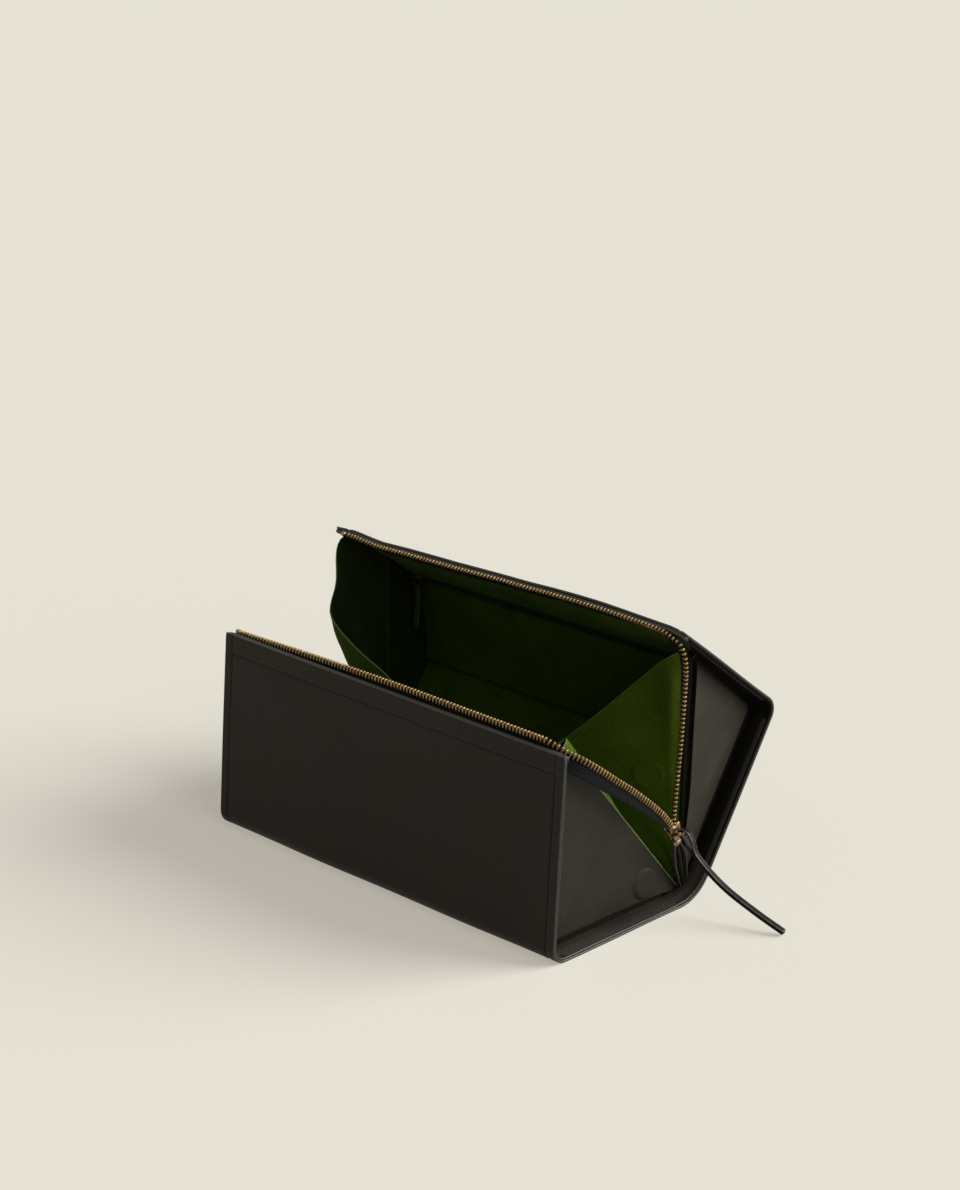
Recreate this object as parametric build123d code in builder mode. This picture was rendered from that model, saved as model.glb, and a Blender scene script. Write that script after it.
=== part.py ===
from build123d import *
import math
import os

os.makedirs("parts", exist_ok=True)

# A box-shaped leather wash bag, standing open as a clamshell. One leather strip wraps front
# wall, bottom, back wall and lid. The bag opens about the rear bottom fold, which is the line
# u = 0, v = 0 of every section below. A section is drawn with the bag shut: u runs to the
# back and v up, both in mm from the fold. The back half is then turned open about the fold.
# The frame's origin is the middle of the flat bottom, X runs along the length to the end
# where the zip's tail hangs, Y to the back and Z up.

# Driving dimensions, in mm and degrees
length = 250.0
depth = 110.0
height = 110.0
lean = 9.0
open_angle = 38.0
leather = 1.4
board = 1.8
lining = 0.6
recess = 12.0
edge_radius = 9.0
fold_reach = 14.0
front_edge_angle = 129.2
rear_edge_angle = 125.5
zip_angle = 109.2
slider_reach = 45.0
tooth_pitch = 2.35
magnet_radius = 7.5

# Worked out from the driving dimensions
slope = lean / height
stretch = math.hypot(1, slope)
board_back = leather + board
lining_back = board_back + lining
flange = 1.2
flange_back = board_back + flange
panel_face = length / 2 - recess
stiffener = 1.6
panel_back = panel_face - flange
stiffener_back = panel_back - stiffener
cloth = 0.5
cloth_back = stiffener_back - cloth
inside = cloth_back - 0.3
shut_turn = 90 + math.degrees(math.atan(slope))
fold_turn = shut_turn - open_angle
fold_radius = fold_reach / math.tan(math.radians(fold_turn / 2))
lid_front = lean - depth
sides = (("left", -1), ("right", 1))


def half_plane(x, angle):
    """The section plane at x, turned open about the rear fold by angle."""
    turn = math.radians(angle)
    return Plane(
        origin=(x, depth / 2, 0),
        x_dir=(0, math.cos(turn), -math.sin(turn)),
        z_dir=(1, 0, 0),
    )


def base_plane(x):
    return half_plane(x, 0)


def upper_plane(x):
    return half_plane(x, open_angle)


def front_wall(inset, v):
    """A point of the leaning front wall, inset from its outside."""
    return (-depth + slope * v + stretch * inset, v)


def back_wall(inset, v):
    """A point of the leaning back wall, inset from its outside."""
    return (-slope * v - stretch * inset, v)


def up_back_wall(reach, inset):
    """A point at a reach up the back wall from the fold, square inset from the outside."""
    return (-(slope * reach + inset) / stretch, (reach - slope * inset) / stretch)


def ray(angle, reach):
    """A point of the section at a reach from the fold."""
    turn = math.radians(angle)
    return (reach * math.cos(turn), reach * math.sin(turn))


def ray_at_height(angle, v):
    return (v / math.tan(math.radians(angle)), v)


def base_path(inset, top, end):
    """Front wall and bottom, from the wall's top to the bottom's rear end."""
    return [front_wall(inset, top), front_wall(inset, inset), (end, inset)]


def upper_path(inset, start, end):
    """Back wall and lid, from a reach up the wall to the lid's front end."""
    return [up_back_wall(start, inset), back_wall(inset, height - inset), (end, height - inset)]


def bent_band(plane, outer, inner, outer_radius, inner_radius, width):
    """A strip of sheet bent once, between an outer and an inner line of three points."""
    with BuildPart() as band:
        with BuildSketch(plane):
            with BuildLine():
                outside = FilletPolyline(*outer, radius=outer_radius)
                inside_line = FilletPolyline(*inner, radius=inner_radius)
                Line(outside @ 0, inside_line @ 0)
                Line(outside @ 1, inside_line @ 1)
            make_face()
        extrude(amount=width)
    return band.part


def flat_piece(plane, outline, width):
    """A flat sheet or bar with a straight-sided section."""
    with BuildPart() as sheet:
        with BuildSketch(plane):
            with BuildLine():
                Polyline(*outline, close=True)
            make_face()
        extrude(amount=width)
    return sheet.part


def ribbon(points, low, high):
    """The outline of a strip that follows points, between two distances to its left."""
    def shifted(distance):
        line = []
        for index, (u, v) in enumerate(points):
            before = points[max(index - 1, 0)]
            after = points[min(index + 1, len(points) - 1)]
            run = (after[0] - before[0], after[1] - before[1])
            size = math.hypot(*run)
            line.append((u - run[1] / size * distance, v + run[0] / size * distance))
        return line

    return shifted(low) + shifted(high)[::-1]


def keep(part, name):
    part.label = name
    export_step(part, "parts/" + name + ".step")


# Outer leather: front wall and bottom in one, back wall and lid in one, and the strip of the
# rear fold between them, which bends as the bag opens
keep(
    bent_band(
        base_plane(-length / 2),
        base_path(0, height, -fold_reach),
        base_path(leather, height, -fold_reach),
        edge_radius,
        edge_radius - leather,
        length,
    ),
    "front_and_bottom_leather",
)
keep(
    bent_band(
        upper_plane(-length / 2),
        upper_path(0, fold_reach, lid_front),
        upper_path(leather, fold_reach, lid_front),
        edge_radius,
        edge_radius - leather,
        length,
    ),
    "back_and_lid_leather",
)


def fold_strip(outer, inner, half_width):
    """The bent strip of the rear fold between two insets."""
    centre = (-fold_reach, fold_radius)
    with BuildPart() as strip:
        with BuildSketch(base_plane(-half_width)):
            with BuildLine():
                outside = CenterArc(centre, fold_radius - outer, -90, fold_turn)
                inside_arc = CenterArc(centre, fold_radius - inner, -90, fold_turn)
                Line(outside @ 0, inside_arc @ 0)
                Line(outside @ 1, inside_arc @ 1)
            make_face()
        extrude(amount=2 * half_width)
    return strip.part


keep(fold_strip(0, leather, length / 2), "rear_fold_leather")
keep(fold_strip(leather, leather + lining, panel_back), "rear_fold_lining")

# Stiff boards glued behind the leather, one to each wall
board_half = length / 2 - 1.5
corner_clear = 10.5
fold_clear = 2.0
board_start = fold_reach + fold_clear


def wall_sheets(kind, outer, inner, half_width, corner_gap):
    """One flat sheet behind each of the four walls, between two insets."""
    base = base_plane(-half_width)
    upper = upper_plane(-half_width)
    top = height - 2.0
    keep(
        flat_piece(
            base,
            [
                front_wall(outer, corner_gap),
                front_wall(outer, top),
                front_wall(inner, top),
                front_wall(inner, corner_gap),
            ],
            2 * half_width,
        ),
        "front_" + kind,
    )
    keep(
        flat_piece(
            base,
            [
                (corner_gap - depth, outer),
                (-board_start, outer),
                (-board_start, inner),
                (corner_gap - depth, inner),
            ],
            2 * half_width,
        ),
        "bottom_" + kind,
    )
    keep(
        flat_piece(
            upper,
            [
                up_back_wall(board_start, outer),
                back_wall(outer, height - corner_gap),
                back_wall(inner, height - corner_gap),
                up_back_wall(board_start, inner),
            ],
            2 * half_width,
        ),
        "back_" + kind,
    )
    keep(
        flat_piece(
            upper,
            [
                (-lean - corner_gap, height - outer),
                (lid_front + 2.0, height - outer),
                (lid_front + 2.0, height - inner),
                (-lean - corner_gap, height - inner),
            ],
            2 * half_width,
        ),
        "lid_" + kind,
    )


wall_sheets("board", leather, board_back, board_half, corner_clear)
wall_sheets("lining", board_back, lining_back, inside, edge_radius)

# End panels: at each end one triangle of leather for each half, set back in the wrap, its rim
# turned outward as a flange and sewn to the walls. Behind it lie a stiffener and the lining,
# and the front one holds a magnet.
panel_top = 104.0
tip_reach = 7.0
panel_radius = edge_radius - board_back
flange_radius = edge_radius - flange_back
flange_half = length / 2 - 0.4
magnet_place = ray(front_edge_angle + 22.8, 33.8)
magnet_thick = 1.4


def front_panel_outline():
    return [
        front_wall(board_back, panel_top),
        front_wall(board_back, board_back),
        (-board_start, board_back),
        ray(front_edge_angle, tip_reach),
        ray_at_height(front_edge_angle, panel_top),
    ]


def rear_panel_outline():
    return [
        ray_at_height(rear_edge_angle, height - board_back),
        back_wall(board_back, height - board_back),
        up_back_wall(board_start, board_back),
        ray(rear_edge_angle, tip_reach),
    ]


def panel_sheet(plane, outline, width, shrink, hole):
    """A triangle of sheet with a rounded outer corner, and the magnet's hole if it has one."""
    with BuildPart() as sheet:
        with BuildSketch(plane):
            with BuildLine():
                Polyline(*outline, close=True)
            make_face()
            corner = vertices().sort_by_distance(outline[1])[0]
            fillet(corner, radius=panel_radius)
            if shrink:
                offset(amount=-shrink)
            if hole:
                with Locations(magnet_place):
                    Circle(magnet_radius + 0.2, mode=Mode.SUBTRACT)
        extrude(amount=width)
    return sheet.part


def flanged_panel(plane_at, side, outline, outer, inner):
    """The leather of one end panel: its face and the flange turned outward."""
    with BuildPart() as panel:
        with BuildSketch(plane_at(side * panel_back)):
            with BuildLine():
                Polyline(*outline, close=True)
            make_face()
            fillet(vertices().sort_by_distance(outline[1])[0], radius=panel_radius)
        extrude(amount=side * flange)
        with BuildSketch(plane_at(side * panel_face)):
            with BuildLine():
                outside = FilletPolyline(*outer, radius=panel_radius)
                inside_line = FilletPolyline(*inner, radius=flange_radius)
                Line(outside @ 0, inside_line @ 0)
                Line(outside @ 1, inside_line @ 1)
            make_face()
        extrude(amount=side * (flange_half - panel_face))
    return panel.part


for side_name, side in sides:
    keep(
        flanged_panel(
            base_plane,
            side,
            front_panel_outline(),
            base_path(board_back, panel_top, -board_start),
            base_path(flange_back, panel_top, -board_start),
        ),
        side_name + "_front_end_panel",
    )
    keep(
        flanged_panel(
            upper_plane,
            side,
            rear_panel_outline(),
            upper_path(board_back, board_start, lid_front + 15.0),
            upper_path(flange_back, board_start, lid_front + 15.0),
        ),
        side_name + "_rear_end_panel",
    )
    keep(
        panel_sheet(
            base_plane(side * panel_back), front_panel_outline(), -side * stiffener, 0.8, True
        ),
        side_name + "_front_end_stiffener",
    )
    keep(
        panel_sheet(
            upper_plane(side * panel_back), rear_panel_outline(), -side * stiffener, 0.8, False
        ),
        side_name + "_rear_end_stiffener",
    )
    keep(
        panel_sheet(
            base_plane(side * stiffener_back), front_panel_outline(), -side * cloth, 0.8, False
        ),
        side_name + "_front_end_lining",
    )
    keep(
        panel_sheet(
            upper_plane(side * stiffener_back), rear_panel_outline(), -side * cloth, 0.8, False
        ),
        side_name + "_rear_end_lining",
    )
    with BuildPart() as magnet:
        with BuildSketch(base_plane(side * panel_back)):
            with Locations(magnet_place):
                Circle(magnet_radius)
        extrude(amount=-side * magnet_thick)
    keep(magnet.part, side_name + "_front_end_magnet")

# Gussets: at each end a soft wing of lining cloth joins the two end panels' slanting edges. It
# folds inward on a line from the rear fold, and each half is a flat triangle here.
gusset_edge = inside - 1.0
gusset_thick = 0.8
gusset_reach = 128.0
gusset_start = 12.0
wing_tip = {"left": (-57.0, 29.0, 74.0), "right": (50.0, 29.0, 74.0)}
wing_magnet_along = 63.6
wing_magnet_off = 16.8
wing_magnet_thick = 1.0


def world(x, point, angle):
    """A section point at x, turned open by angle, in the frame of the bag."""
    return half_plane(x, angle).from_local_coords(Vector(point[0], point[1], 0))


def wing_plane(foot, top, tip):
    edge = (top - foot).normalized()
    square = edge.cross(tip - foot).normalized()
    return Plane(origin=foot, x_dir=edge, z_dir=square)


def gusset_half(foot, top, tip):
    """A triangle of doubled cloth between an end panel's edge and the gusset's fold."""
    plane = wing_plane(foot, top, tip)
    corners = [plane.to_local_coords(corner) for corner in (foot, top, tip)]
    with BuildPart() as half:
        with BuildSketch(plane):
            with BuildLine():
                Polyline(*[(corner.X, corner.Y) for corner in corners], close=True)
            make_face()
            offset(amount=-1.2)
        extrude(amount=gusset_thick / 2, both=True)
    return half.part


for side_name, side in sides:
    tip = Vector(*wing_tip[side_name])
    x = side * gusset_edge
    front_foot = world(x, ray(front_edge_angle, gusset_start), 0)
    front_corner = world(x, ray(front_edge_angle, gusset_reach), 0)
    rear_foot = world(x, ray(rear_edge_angle, gusset_start), open_angle)
    rear_corner = world(x, ray(rear_edge_angle, gusset_reach), open_angle)
    keep(gusset_half(front_foot, front_corner, tip), side_name + "_gusset_front_half")
    keep(gusset_half(rear_foot, rear_corner, tip), side_name + "_gusset_rear_half")
    rear_plane = wing_plane(rear_foot, rear_corner, tip)
    with BuildPart() as magnet:
        with BuildSketch(rear_plane.offset(side * gusset_thick / 2)):
            with Locations((wing_magnet_along - gusset_start, wing_magnet_off)):
                Circle(magnet_radius)
        extrude(amount=side * wing_magnet_thick)
    keep(magnet.part, side_name + "_gusset_magnet")

# Zip rows: a tape sewn inside the front wall's top edge and one under the lid's edge, each
# with its row of metal teeth. The rows are apart, because the zip is open.
tape_thick = 0.6
tape_back = lining_back + tape_thick
row_start = -119.0
row_end = inside
teeth_count = 96
tooth_width = 1.2
tooth_height = 3.6
tooth_thick = 2.6
tooth_overhang = 3.0
cord = 1.2


def teeth_row(plane, count):
    """A row of teeth on the tape's cord, as one comb. The plane's x runs along the row."""
    with BuildPart() as row:
        with BuildSketch(plane):
            with GridLocations(tooth_pitch, 1, count, 1):
                Rectangle(tooth_width, tooth_height)
            with Locations((0, (cord - tooth_height) / 2)):
                Rectangle(count * tooth_pitch, cord)
        extrude(amount=tooth_thick / 2, both=True)
    return row.part


def row_plane(point, angle, turn):
    """A plane through a section point, x along the row and y the way the teeth point."""
    origin = world((row_start + row_end) / 2, point, angle)
    up = math.radians(turn)
    return Plane(
        origin=origin,
        x_dir=(1, 0, 0),
        z_dir=(0, -math.sin(up), math.cos(up)),
    )


front_tape_top = height + 1.6
tape_foot = panel_top + 0.4
front_mid = lining_back + tape_thick / 2
keep(
    flat_piece(
        base_plane(row_start),
        [
            front_wall(lining_back, tape_foot),
            front_wall(lining_back, front_tape_top),
            front_wall(tape_back, front_tape_top),
            front_wall(tape_back, tape_foot),
        ],
        row_end - row_start,
    ),
    "front_zip_tape",
)
front_turn = 90 - math.degrees(math.atan(slope))
keep(
    teeth_row(
        row_plane(front_wall(front_mid, front_tape_top + 0.15 + tooth_height / 2), 0, front_turn),
        teeth_count,
    ),
    "front_zip_teeth",
)
rear_tape_front = lid_front + 1.0
keep(
    flat_piece(
        upper_plane(row_start),
        [
            (lid_front + 13.0, height - lining_back),
            (rear_tape_front, height - lining_back),
            (rear_tape_front, height - tape_back),
            (lid_front + 13.0, height - tape_back),
        ],
        row_end - row_start,
    ),
    "rear_zip_tape",
)
rear_row = (rear_tape_front - tooth_height / 2, height - lining_back - tooth_thick / 2)
keep(
    teeth_row(row_plane(rear_row, open_angle, 180 - open_angle), teeth_count),
    "rear_zip_teeth",
)

# Top stops: one metal clip at the left end of each row
stop_length = 3.0


def end_stop(point, angle):
    origin = world(row_start + 0.6, point, angle)
    with BuildPart() as stop:
        with BuildSketch(half_plane(origin.X, angle)):
            with Locations(point):
                RectangleRounded(tooth_thick + 0.6, tooth_thick + 0.6, 0.8)
        extrude(amount=-stop_length)
        fillet(faces().sort_by(Axis.X)[0].edges(), radius=0.5)
    return stop.part


keep(end_stop(front_wall(front_mid, front_tape_top + 1.6), 0), "front_top_stop")
keep(end_stop((rear_tape_front - 1.6, rear_row[1]), open_angle), "rear_top_stop")

# Free stretches: past the right end panel both tapes leave the bag and run down to the slider.
# They bend as the bag opens. Both lie flat here, outside the end panel.
stretch_plane_x = panel_face + 6.6
chain_half = 1.6
tape_start = 2.7
tape_edge = 9.0
front_run = [(-94.5, 113.4), (-57.0, 83.5), (-18.6, 52.0)]
rear_run = [(-14.2, 141.0), (-9.0, 128.0), (-10.6, 93.0), (-14.2, 52.0)]
front_tape_run = [(-87.0, 107.4), (-57.0, 83.5), (-18.6, 52.0)]
rear_tape_run = [(-10.2, 129.0), (-9.6, 120.0), (-10.6, 93.0), (-14.2, 52.0)]

keep(
    flat_piece(
        base_plane(stretch_plane_x),
        ribbon(front_tape_run, -tape_edge, -tape_start),
        tape_thick,
    ),
    "front_free_tape",
)
keep(
    flat_piece(
        base_plane(stretch_plane_x - 1.0),
        ribbon(front_run, -chain_half, chain_half),
        tooth_thick,
    ),
    "front_free_teeth",
)
keep(
    flat_piece(
        base_plane(stretch_plane_x),
        ribbon(rear_tape_run, tape_start, tape_edge),
        tape_thick,
    ),
    "rear_free_tape",
)
keep(
    flat_piece(
        base_plane(stretch_plane_x - 1.0),
        ribbon(rear_run, -chain_half, chain_half),
        tooth_thick,
    ),
    "rear_free_teeth",
)

# Slider: a metal body at the tail of the zip, with a bridge that carries the leather pull
slider_long = 11.0
slider_wide = 8.6
slider_thick = 5.0
slider_x = stretch_plane_x + tape_thick / 2
bridge_out = 4.2
bar_radius = 1.1
bar_clear = 0.3
strap_wide = 5.0
strap_thick = 2.4
leg = 1.3
pull_heading = 13.3


def tail_plane(x):
    """The section plane at x, its v axis along the line from the fold to the slider."""
    return half_plane(x, 90 - zip_angle)


with BuildPart() as slider:
    with BuildSketch(tail_plane(slider_x - slider_thick / 2)):
        with BuildLine():
            Polyline(
                (-slider_wide / 2, slider_reach + slider_long / 2 - 1.0),
                (0, slider_reach + slider_long / 2 - 2.6),
                (slider_wide / 2, slider_reach + slider_long / 2 - 1.0),
                (slider_wide / 2 - 1.2, slider_reach - slider_long / 2),
                (1.2 - slider_wide / 2, slider_reach - slider_long / 2),
                close=True,
            )
        make_face()
        fillet(vertices(), radius=0.9)
    extrude(amount=slider_thick)
    fillet(faces().sort_by(Axis.X)[-1].edges(), radius=0.7)
    fillet(faces().sort_by(Axis.X)[0].edges(), radius=0.5)
keep(slider.part, "zip_slider")

# The bridge is a staple: two legs and a bar. The bar is level, square to the way the pull
# hangs, and the pull's folded end turns on it.
slider_face = slider_x + slider_thick / 2
bar_centre = tail_plane(slider_face + bridge_out).from_local_coords(
    Vector(0, slider_reach + 1.2, 0)
)
heading = math.radians(pull_heading)
pull_out = Vector(math.cos(heading), math.sin(heading), 0)
bar_along = Vector(-math.sin(heading), math.cos(heading), 0)
bar_half = strap_wide / 2 + bar_clear + leg
pull_plane = Plane(origin=bar_centre, x_dir=pull_out, z_dir=bar_along * -1)

with BuildPart() as bridge:
    with BuildSketch(pull_plane):
        Circle(bar_radius)
    extrude(amount=bar_half, both=True)
    for end in (-1, 1):
        with BuildSketch(pull_plane.offset(end * bar_half)):
            Circle(bar_radius + 0.5)
            with Locations((-bridge_out / 2 - 0.6, 0)):
                Rectangle(bridge_out + 1.2, 2 * bar_radius + 1.0)
        extrude(amount=-end * leg)
    split(bisect_by=Plane(origin=(slider_face, 0, 0), z_dir=(1, 0, 0)), keep=Keep.TOP)
keep(bridge.part, "slider_bridge")

# Bottom stop and end tab: the tapes' ends are held by a metal clip and sewn into a leather
# tongue, which is fixed at the foot of the end panels
stop_reach = slider_reach - slider_long / 2 - 2.2
with BuildPart() as bottom_stop:
    with BuildSketch(tail_plane(slider_x - 1.6)):
        with Locations((0, stop_reach)):
            RectangleRounded(5.4, 3.0, 0.8)
    extrude(amount=3.2)
    fillet(faces().sort_by(Axis.X)[-1].edges(), radius=0.6)
keep(bottom_stop.part, "zip_bottom_stop")

tab_top = stop_reach - 1.8
with BuildPart() as end_tab:
    with BuildSketch(tail_plane(slider_x - 1.2)):
        with BuildLine():
            Polyline(
                (-4.6, tab_top),
                (4.6, tab_top),
                (4.0, 12.0),
                (1.2, 5.4),
                (-1.2, 5.4),
                (-4.0, 12.0),
                close=True,
            )
        make_face()
        fillet(vertices().group_by(Axis.Y)[-1], radius=2.4)
    extrude(amount=2.4)
keep(end_tab.part, "zip_end_tab")

# Leather pull: a narrow strap folded round the bar and sewn to itself. It bows down to the
# surface that the bag stands on.
strap_run = [(2.6, -1.4), (9.0, -12.0), (24.0, -24.5), (42.0, -34.2)]
strap_end_reach = 59.4
strap_end = (strap_end_reach, strap_thick / 2 + 0.15 - bar_centre.Z)
eye_radius = bar_radius + bar_clear + strap_thick / 2

with BuildPart() as pull:
    with BuildSketch(pull_plane):
        with BuildLine():
            Polyline(*ribbon(strap_run + [strap_end], -strap_thick / 2, strap_thick / 2), close=True)
        make_face()
        Circle(eye_radius)
        Circle(bar_radius + bar_clear, mode=Mode.SUBTRACT)
    extrude(amount=strap_wide / 2, both=True)
keep(pull.part, "pull_strap")

# Inner pocket: a zip runs along the middle of the lid's lining, and the pocket's cloth hangs
# from it across the rear top corner to the back wall
pocket_half = inside - 1.0
pocket_u = lid_front + 49.0
pocket_tape_half = 7.0
coil_half = 1.5
coil_high = 1.2
coil_face = height - tape_back

keep(
    flat_piece(
        upper_plane(-pocket_half),
        [
            (pocket_u - pocket_tape_half, height - lining_back),
            (pocket_u + pocket_tape_half, height - lining_back),
            (pocket_u + pocket_tape_half, coil_face),
            (pocket_u - pocket_tape_half, coil_face),
        ],
        2 * pocket_half,
    ),
    "pocket_zip_tape",
)
keep(
    flat_piece(
        upper_plane(-pocket_half),
        [
            (pocket_u - coil_half, coil_face),
            (pocket_u + coil_half, coil_face),
            (pocket_u + coil_half, coil_face - coil_high),
            (pocket_u - coil_half, coil_face - coil_high),
        ],
        2 * pocket_half,
    ),
    "pocket_zip_coil",
)
panel_run = [(pocket_u + 4.6, coil_face - 0.6), (-34.0, 94.5), (-11.6, 70.0)]
keep(
    flat_piece(
        upper_plane(-pocket_half),
        ribbon(panel_run, -0.3, 0.3),
        2 * pocket_half,
    ),
    "pocket_panel",
)

# Pocket slider: a small channel over the coil, with two lugs below it and a pin between them
pocket_slider_x = -103.0
pocket_slider_half = 3.5
slot = 0.3
roof = coil_face - coil_high - slot
pin_drop = 2.2
pin_radius = 0.6
pocket_pin = (pocket_u, roof - 1.2 - pin_drop)

with BuildPart() as pocket_slider:
    with BuildSketch(upper_plane(pocket_slider_x - pocket_slider_half)):
        with BuildLine():
            Polyline(
                (pocket_u - coil_half - 1.5, coil_face - slot),
                (pocket_u - coil_half - slot, coil_face - slot),
                (pocket_u - coil_half - slot, roof),
                (pocket_u + coil_half + slot, roof),
                (pocket_u + coil_half + slot, coil_face - slot),
                (pocket_u + coil_half + 1.5, coil_face - slot),
                (pocket_u + coil_half + 1.5, roof - 1.2),
                (pocket_u - coil_half - 1.5, roof - 1.2),
                close=True,
            )
        make_face()
    extrude(amount=2 * pocket_slider_half)
    for lug_x in (-3.0, 2.2):
        with BuildSketch(upper_plane(pocket_slider_x + lug_x)):
            with Locations((pocket_u, roof - 1.2 - pin_drop / 2)):
                Rectangle(2.4, pin_drop)
            with Locations(pocket_pin):
                Circle(1.2)
        extrude(amount=0.8)
    with BuildSketch(upper_plane(pocket_slider_x - 3.0)):
        with Locations(pocket_pin):
            Circle(pin_radius)
    extrude(amount=6.0)
keep(pocket_slider.part, "pocket_slider")

# Pocket pull: a thin cloth strip that hangs from the pin
pocket_pull_long = 25.0
pin_world = world(pocket_slider_x, pocket_pin, open_angle)
hang_plane = Plane(origin=(pin_world.X, pin_world.Y, pin_world.Z), x_dir=(0, 1, 0), z_dir=(1, 0, 0))
with BuildPart() as pocket_pull:
    with BuildSketch(hang_plane):
        with Locations((0, -pocket_pull_long / 2)):
            Rectangle(1.0, pocket_pull_long)
        Circle(pin_radius + 0.7)
        Circle(pin_radius + 0.2, mode=Mode.SUBTRACT)
    extrude(amount=1.9, both=True)
keep(pocket_pull.part, "pocket_pull")

print("fold radius %.1f, bar centre %s" % (fold_radius, tuple(round(n, 2) for n in bar_centre)))
print("pocket pin %s" % (tuple(round(n, 2) for n in pin_world),))
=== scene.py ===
import math

import bmesh
import bpy
import numpy as np
from mathutils import Matrix


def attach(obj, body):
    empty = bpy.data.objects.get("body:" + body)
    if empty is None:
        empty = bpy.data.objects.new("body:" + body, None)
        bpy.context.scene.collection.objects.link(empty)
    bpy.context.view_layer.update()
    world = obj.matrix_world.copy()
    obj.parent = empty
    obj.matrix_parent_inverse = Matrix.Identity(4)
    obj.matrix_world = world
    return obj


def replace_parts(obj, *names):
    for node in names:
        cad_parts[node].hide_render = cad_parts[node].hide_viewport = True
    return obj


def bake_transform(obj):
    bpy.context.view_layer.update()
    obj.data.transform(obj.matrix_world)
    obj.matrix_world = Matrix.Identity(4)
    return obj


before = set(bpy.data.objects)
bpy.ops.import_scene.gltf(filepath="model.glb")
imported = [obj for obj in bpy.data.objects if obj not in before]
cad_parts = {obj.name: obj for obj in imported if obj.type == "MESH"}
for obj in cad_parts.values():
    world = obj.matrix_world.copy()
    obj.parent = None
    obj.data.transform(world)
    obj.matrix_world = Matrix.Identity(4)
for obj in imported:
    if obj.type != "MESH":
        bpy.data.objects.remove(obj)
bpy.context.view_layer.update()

# OUTER WRAP
# One strip of fine-grained black leather makes front wall, bottom, back wall and lid. It is
# turned over boards at two corners and bends freely at the rear fold, the bag's only hinge.
# Sizes are in mm and angles in degrees, and open_angle is how far the lid half leans back.
half_length = 125.0
depth = 110.0
height = 110.0
lean = 9.0
lid_reach = depth - 2 * lean
open_angle = 38.0
leather = 1.4
corner_radius = 9.0
fold_reach = 14.0
slope = lean / height
slant = math.hypot(1, slope)
shut_turn = 90 + math.degrees(math.atan(slope))
fold_radius = fold_reach / math.tan(math.radians((shut_turn - open_angle) / 2))

# How far the lid's front edge has warped from a straight line, along the length, and how far
# its left corner has curled down and out
warp_x = [-125, -118, -106, -94, -75, -57, -39, -20, -3, 14, 31, 48, 65, 82, 98, 112, 120, 125]
warp_up = [-0.2, -0.4, -1.2, -1.8, -1.0, -0.5, 0, 0.9, 1.6, 2.0, 2.7, 3.2, 3.5, 3.4, 3.2, 3.0, 2.2, 1.0]
ear_start = -111.0
ear_wide = 14.0
ear_curl = 3.0


def ease(t):
    """0 to 1 with a soft start and end."""
    t = np.clip(t, 0, 1)
    return t * t * (3 - 2 * t)


def place(x, u, v, upper):
    """Points of the bag in mm: u back and v up from the rear fold, with each half where it stands."""
    x, u, v, upper = np.broadcast_arrays(*[np.asarray(a, float) for a in (x, u, v, upper)])
    to_edge = np.clip((-lean - u) / lid_reach, 0, 1.08)
    on_lid = upper * ease((v - 45) / 55.0)
    lift = np.interp(x, warp_x, warp_up) * to_edge ** 1.3 * on_lid
    ear = ease((ear_start - x) / ear_wide) ** 2 * ease((to_edge - 0.75) / 0.25) * on_lid
    turn = np.radians(open_angle) * upper
    rise = v + lift
    return np.stack(
        [
            x - ear_curl * ear,
            depth / 2 + u * np.cos(turn) + rise * np.sin(turn) - ear_curl * ear,
            -u * np.sin(turn) + rise * np.cos(turn),
        ],
        axis=-1,
    )


def rounded(corners, radius, step=2.6):
    """Points along a line of corners, with an arc at each inner corner."""
    corners = [np.array(c, float) for c in corners]
    line = [corners[0]]

    def straight(end):
        start = line[-1]
        count = max(int(round(np.linalg.norm(end - start) / step)), 1)
        line.extend(start + (end - start) * i / count for i in range(1, count + 1))

    for before, corner, after in zip(corners, corners[1:], corners[2:]):
        a = (before - corner) / np.linalg.norm(before - corner)
        b = (after - corner) / np.linalg.norm(after - corner)
        half = math.acos(np.clip(a @ b, -1, 1)) / 2
        centre = corner + (a + b) / np.linalg.norm(a + b) * radius / math.sin(half)
        first = corner + a * radius / math.tan(half) - centre
        last = corner + b * radius / math.tan(half) - centre
        sweep = math.atan2(first[0] * last[1] - first[1] * last[0], first @ last)
        straight(centre + first)
        for i in range(1, 13):
            turn = sweep * i / 12
            spin = np.array([[math.cos(turn), -math.sin(turn)], [math.sin(turn), math.cos(turn)]])
            line.append(centre + spin @ first)
    straight(corners[-1])
    return np.array(line)


def front_wall(inset, v):
    """A point of the front wall, an inset in from its outer face."""
    return (-depth + slope * v + slant * inset, v)


def back_wall(inset, v):
    """A point of the back wall, an inset in from its outer face."""
    return (-slope * v - slant * inset, v)


def wall_run(inset, top, end, fold_inset=None, step=2.6):
    """The section line through all four walls at an inset: u, v and which half it is on."""
    fold_inset = inset if fold_inset is None else fold_inset
    radius = corner_radius - inset
    low = rounded([front_wall(inset, top), front_wall(inset, inset), (-fold_reach - 8, inset)], radius, step)
    foot = back_wall(inset, (fold_reach + 8) / slant)
    high = rounded([foot, back_wall(inset, height - inset), (end, height - inset)], radius, step)
    count = 16
    angles = np.radians(-90 + (shut_turn - open_angle) * np.arange(count + 1) / count)
    centre = np.array([-fold_reach, fold_radius])
    arc = centre + (fold_radius - fold_inset) * np.stack([np.cos(angles), np.sin(angles)], 1)
    points = np.vstack([low, arc, high])
    upper = np.concatenate([np.zeros(len(low) + count + 1), np.ones(len(high))])
    return points, upper


def reach_along(line):
    """How far along a line each of its points is."""
    return np.concatenate([[0], np.cumsum(np.linalg.norm(np.diff(line, axis=0), axis=1))])


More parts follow.
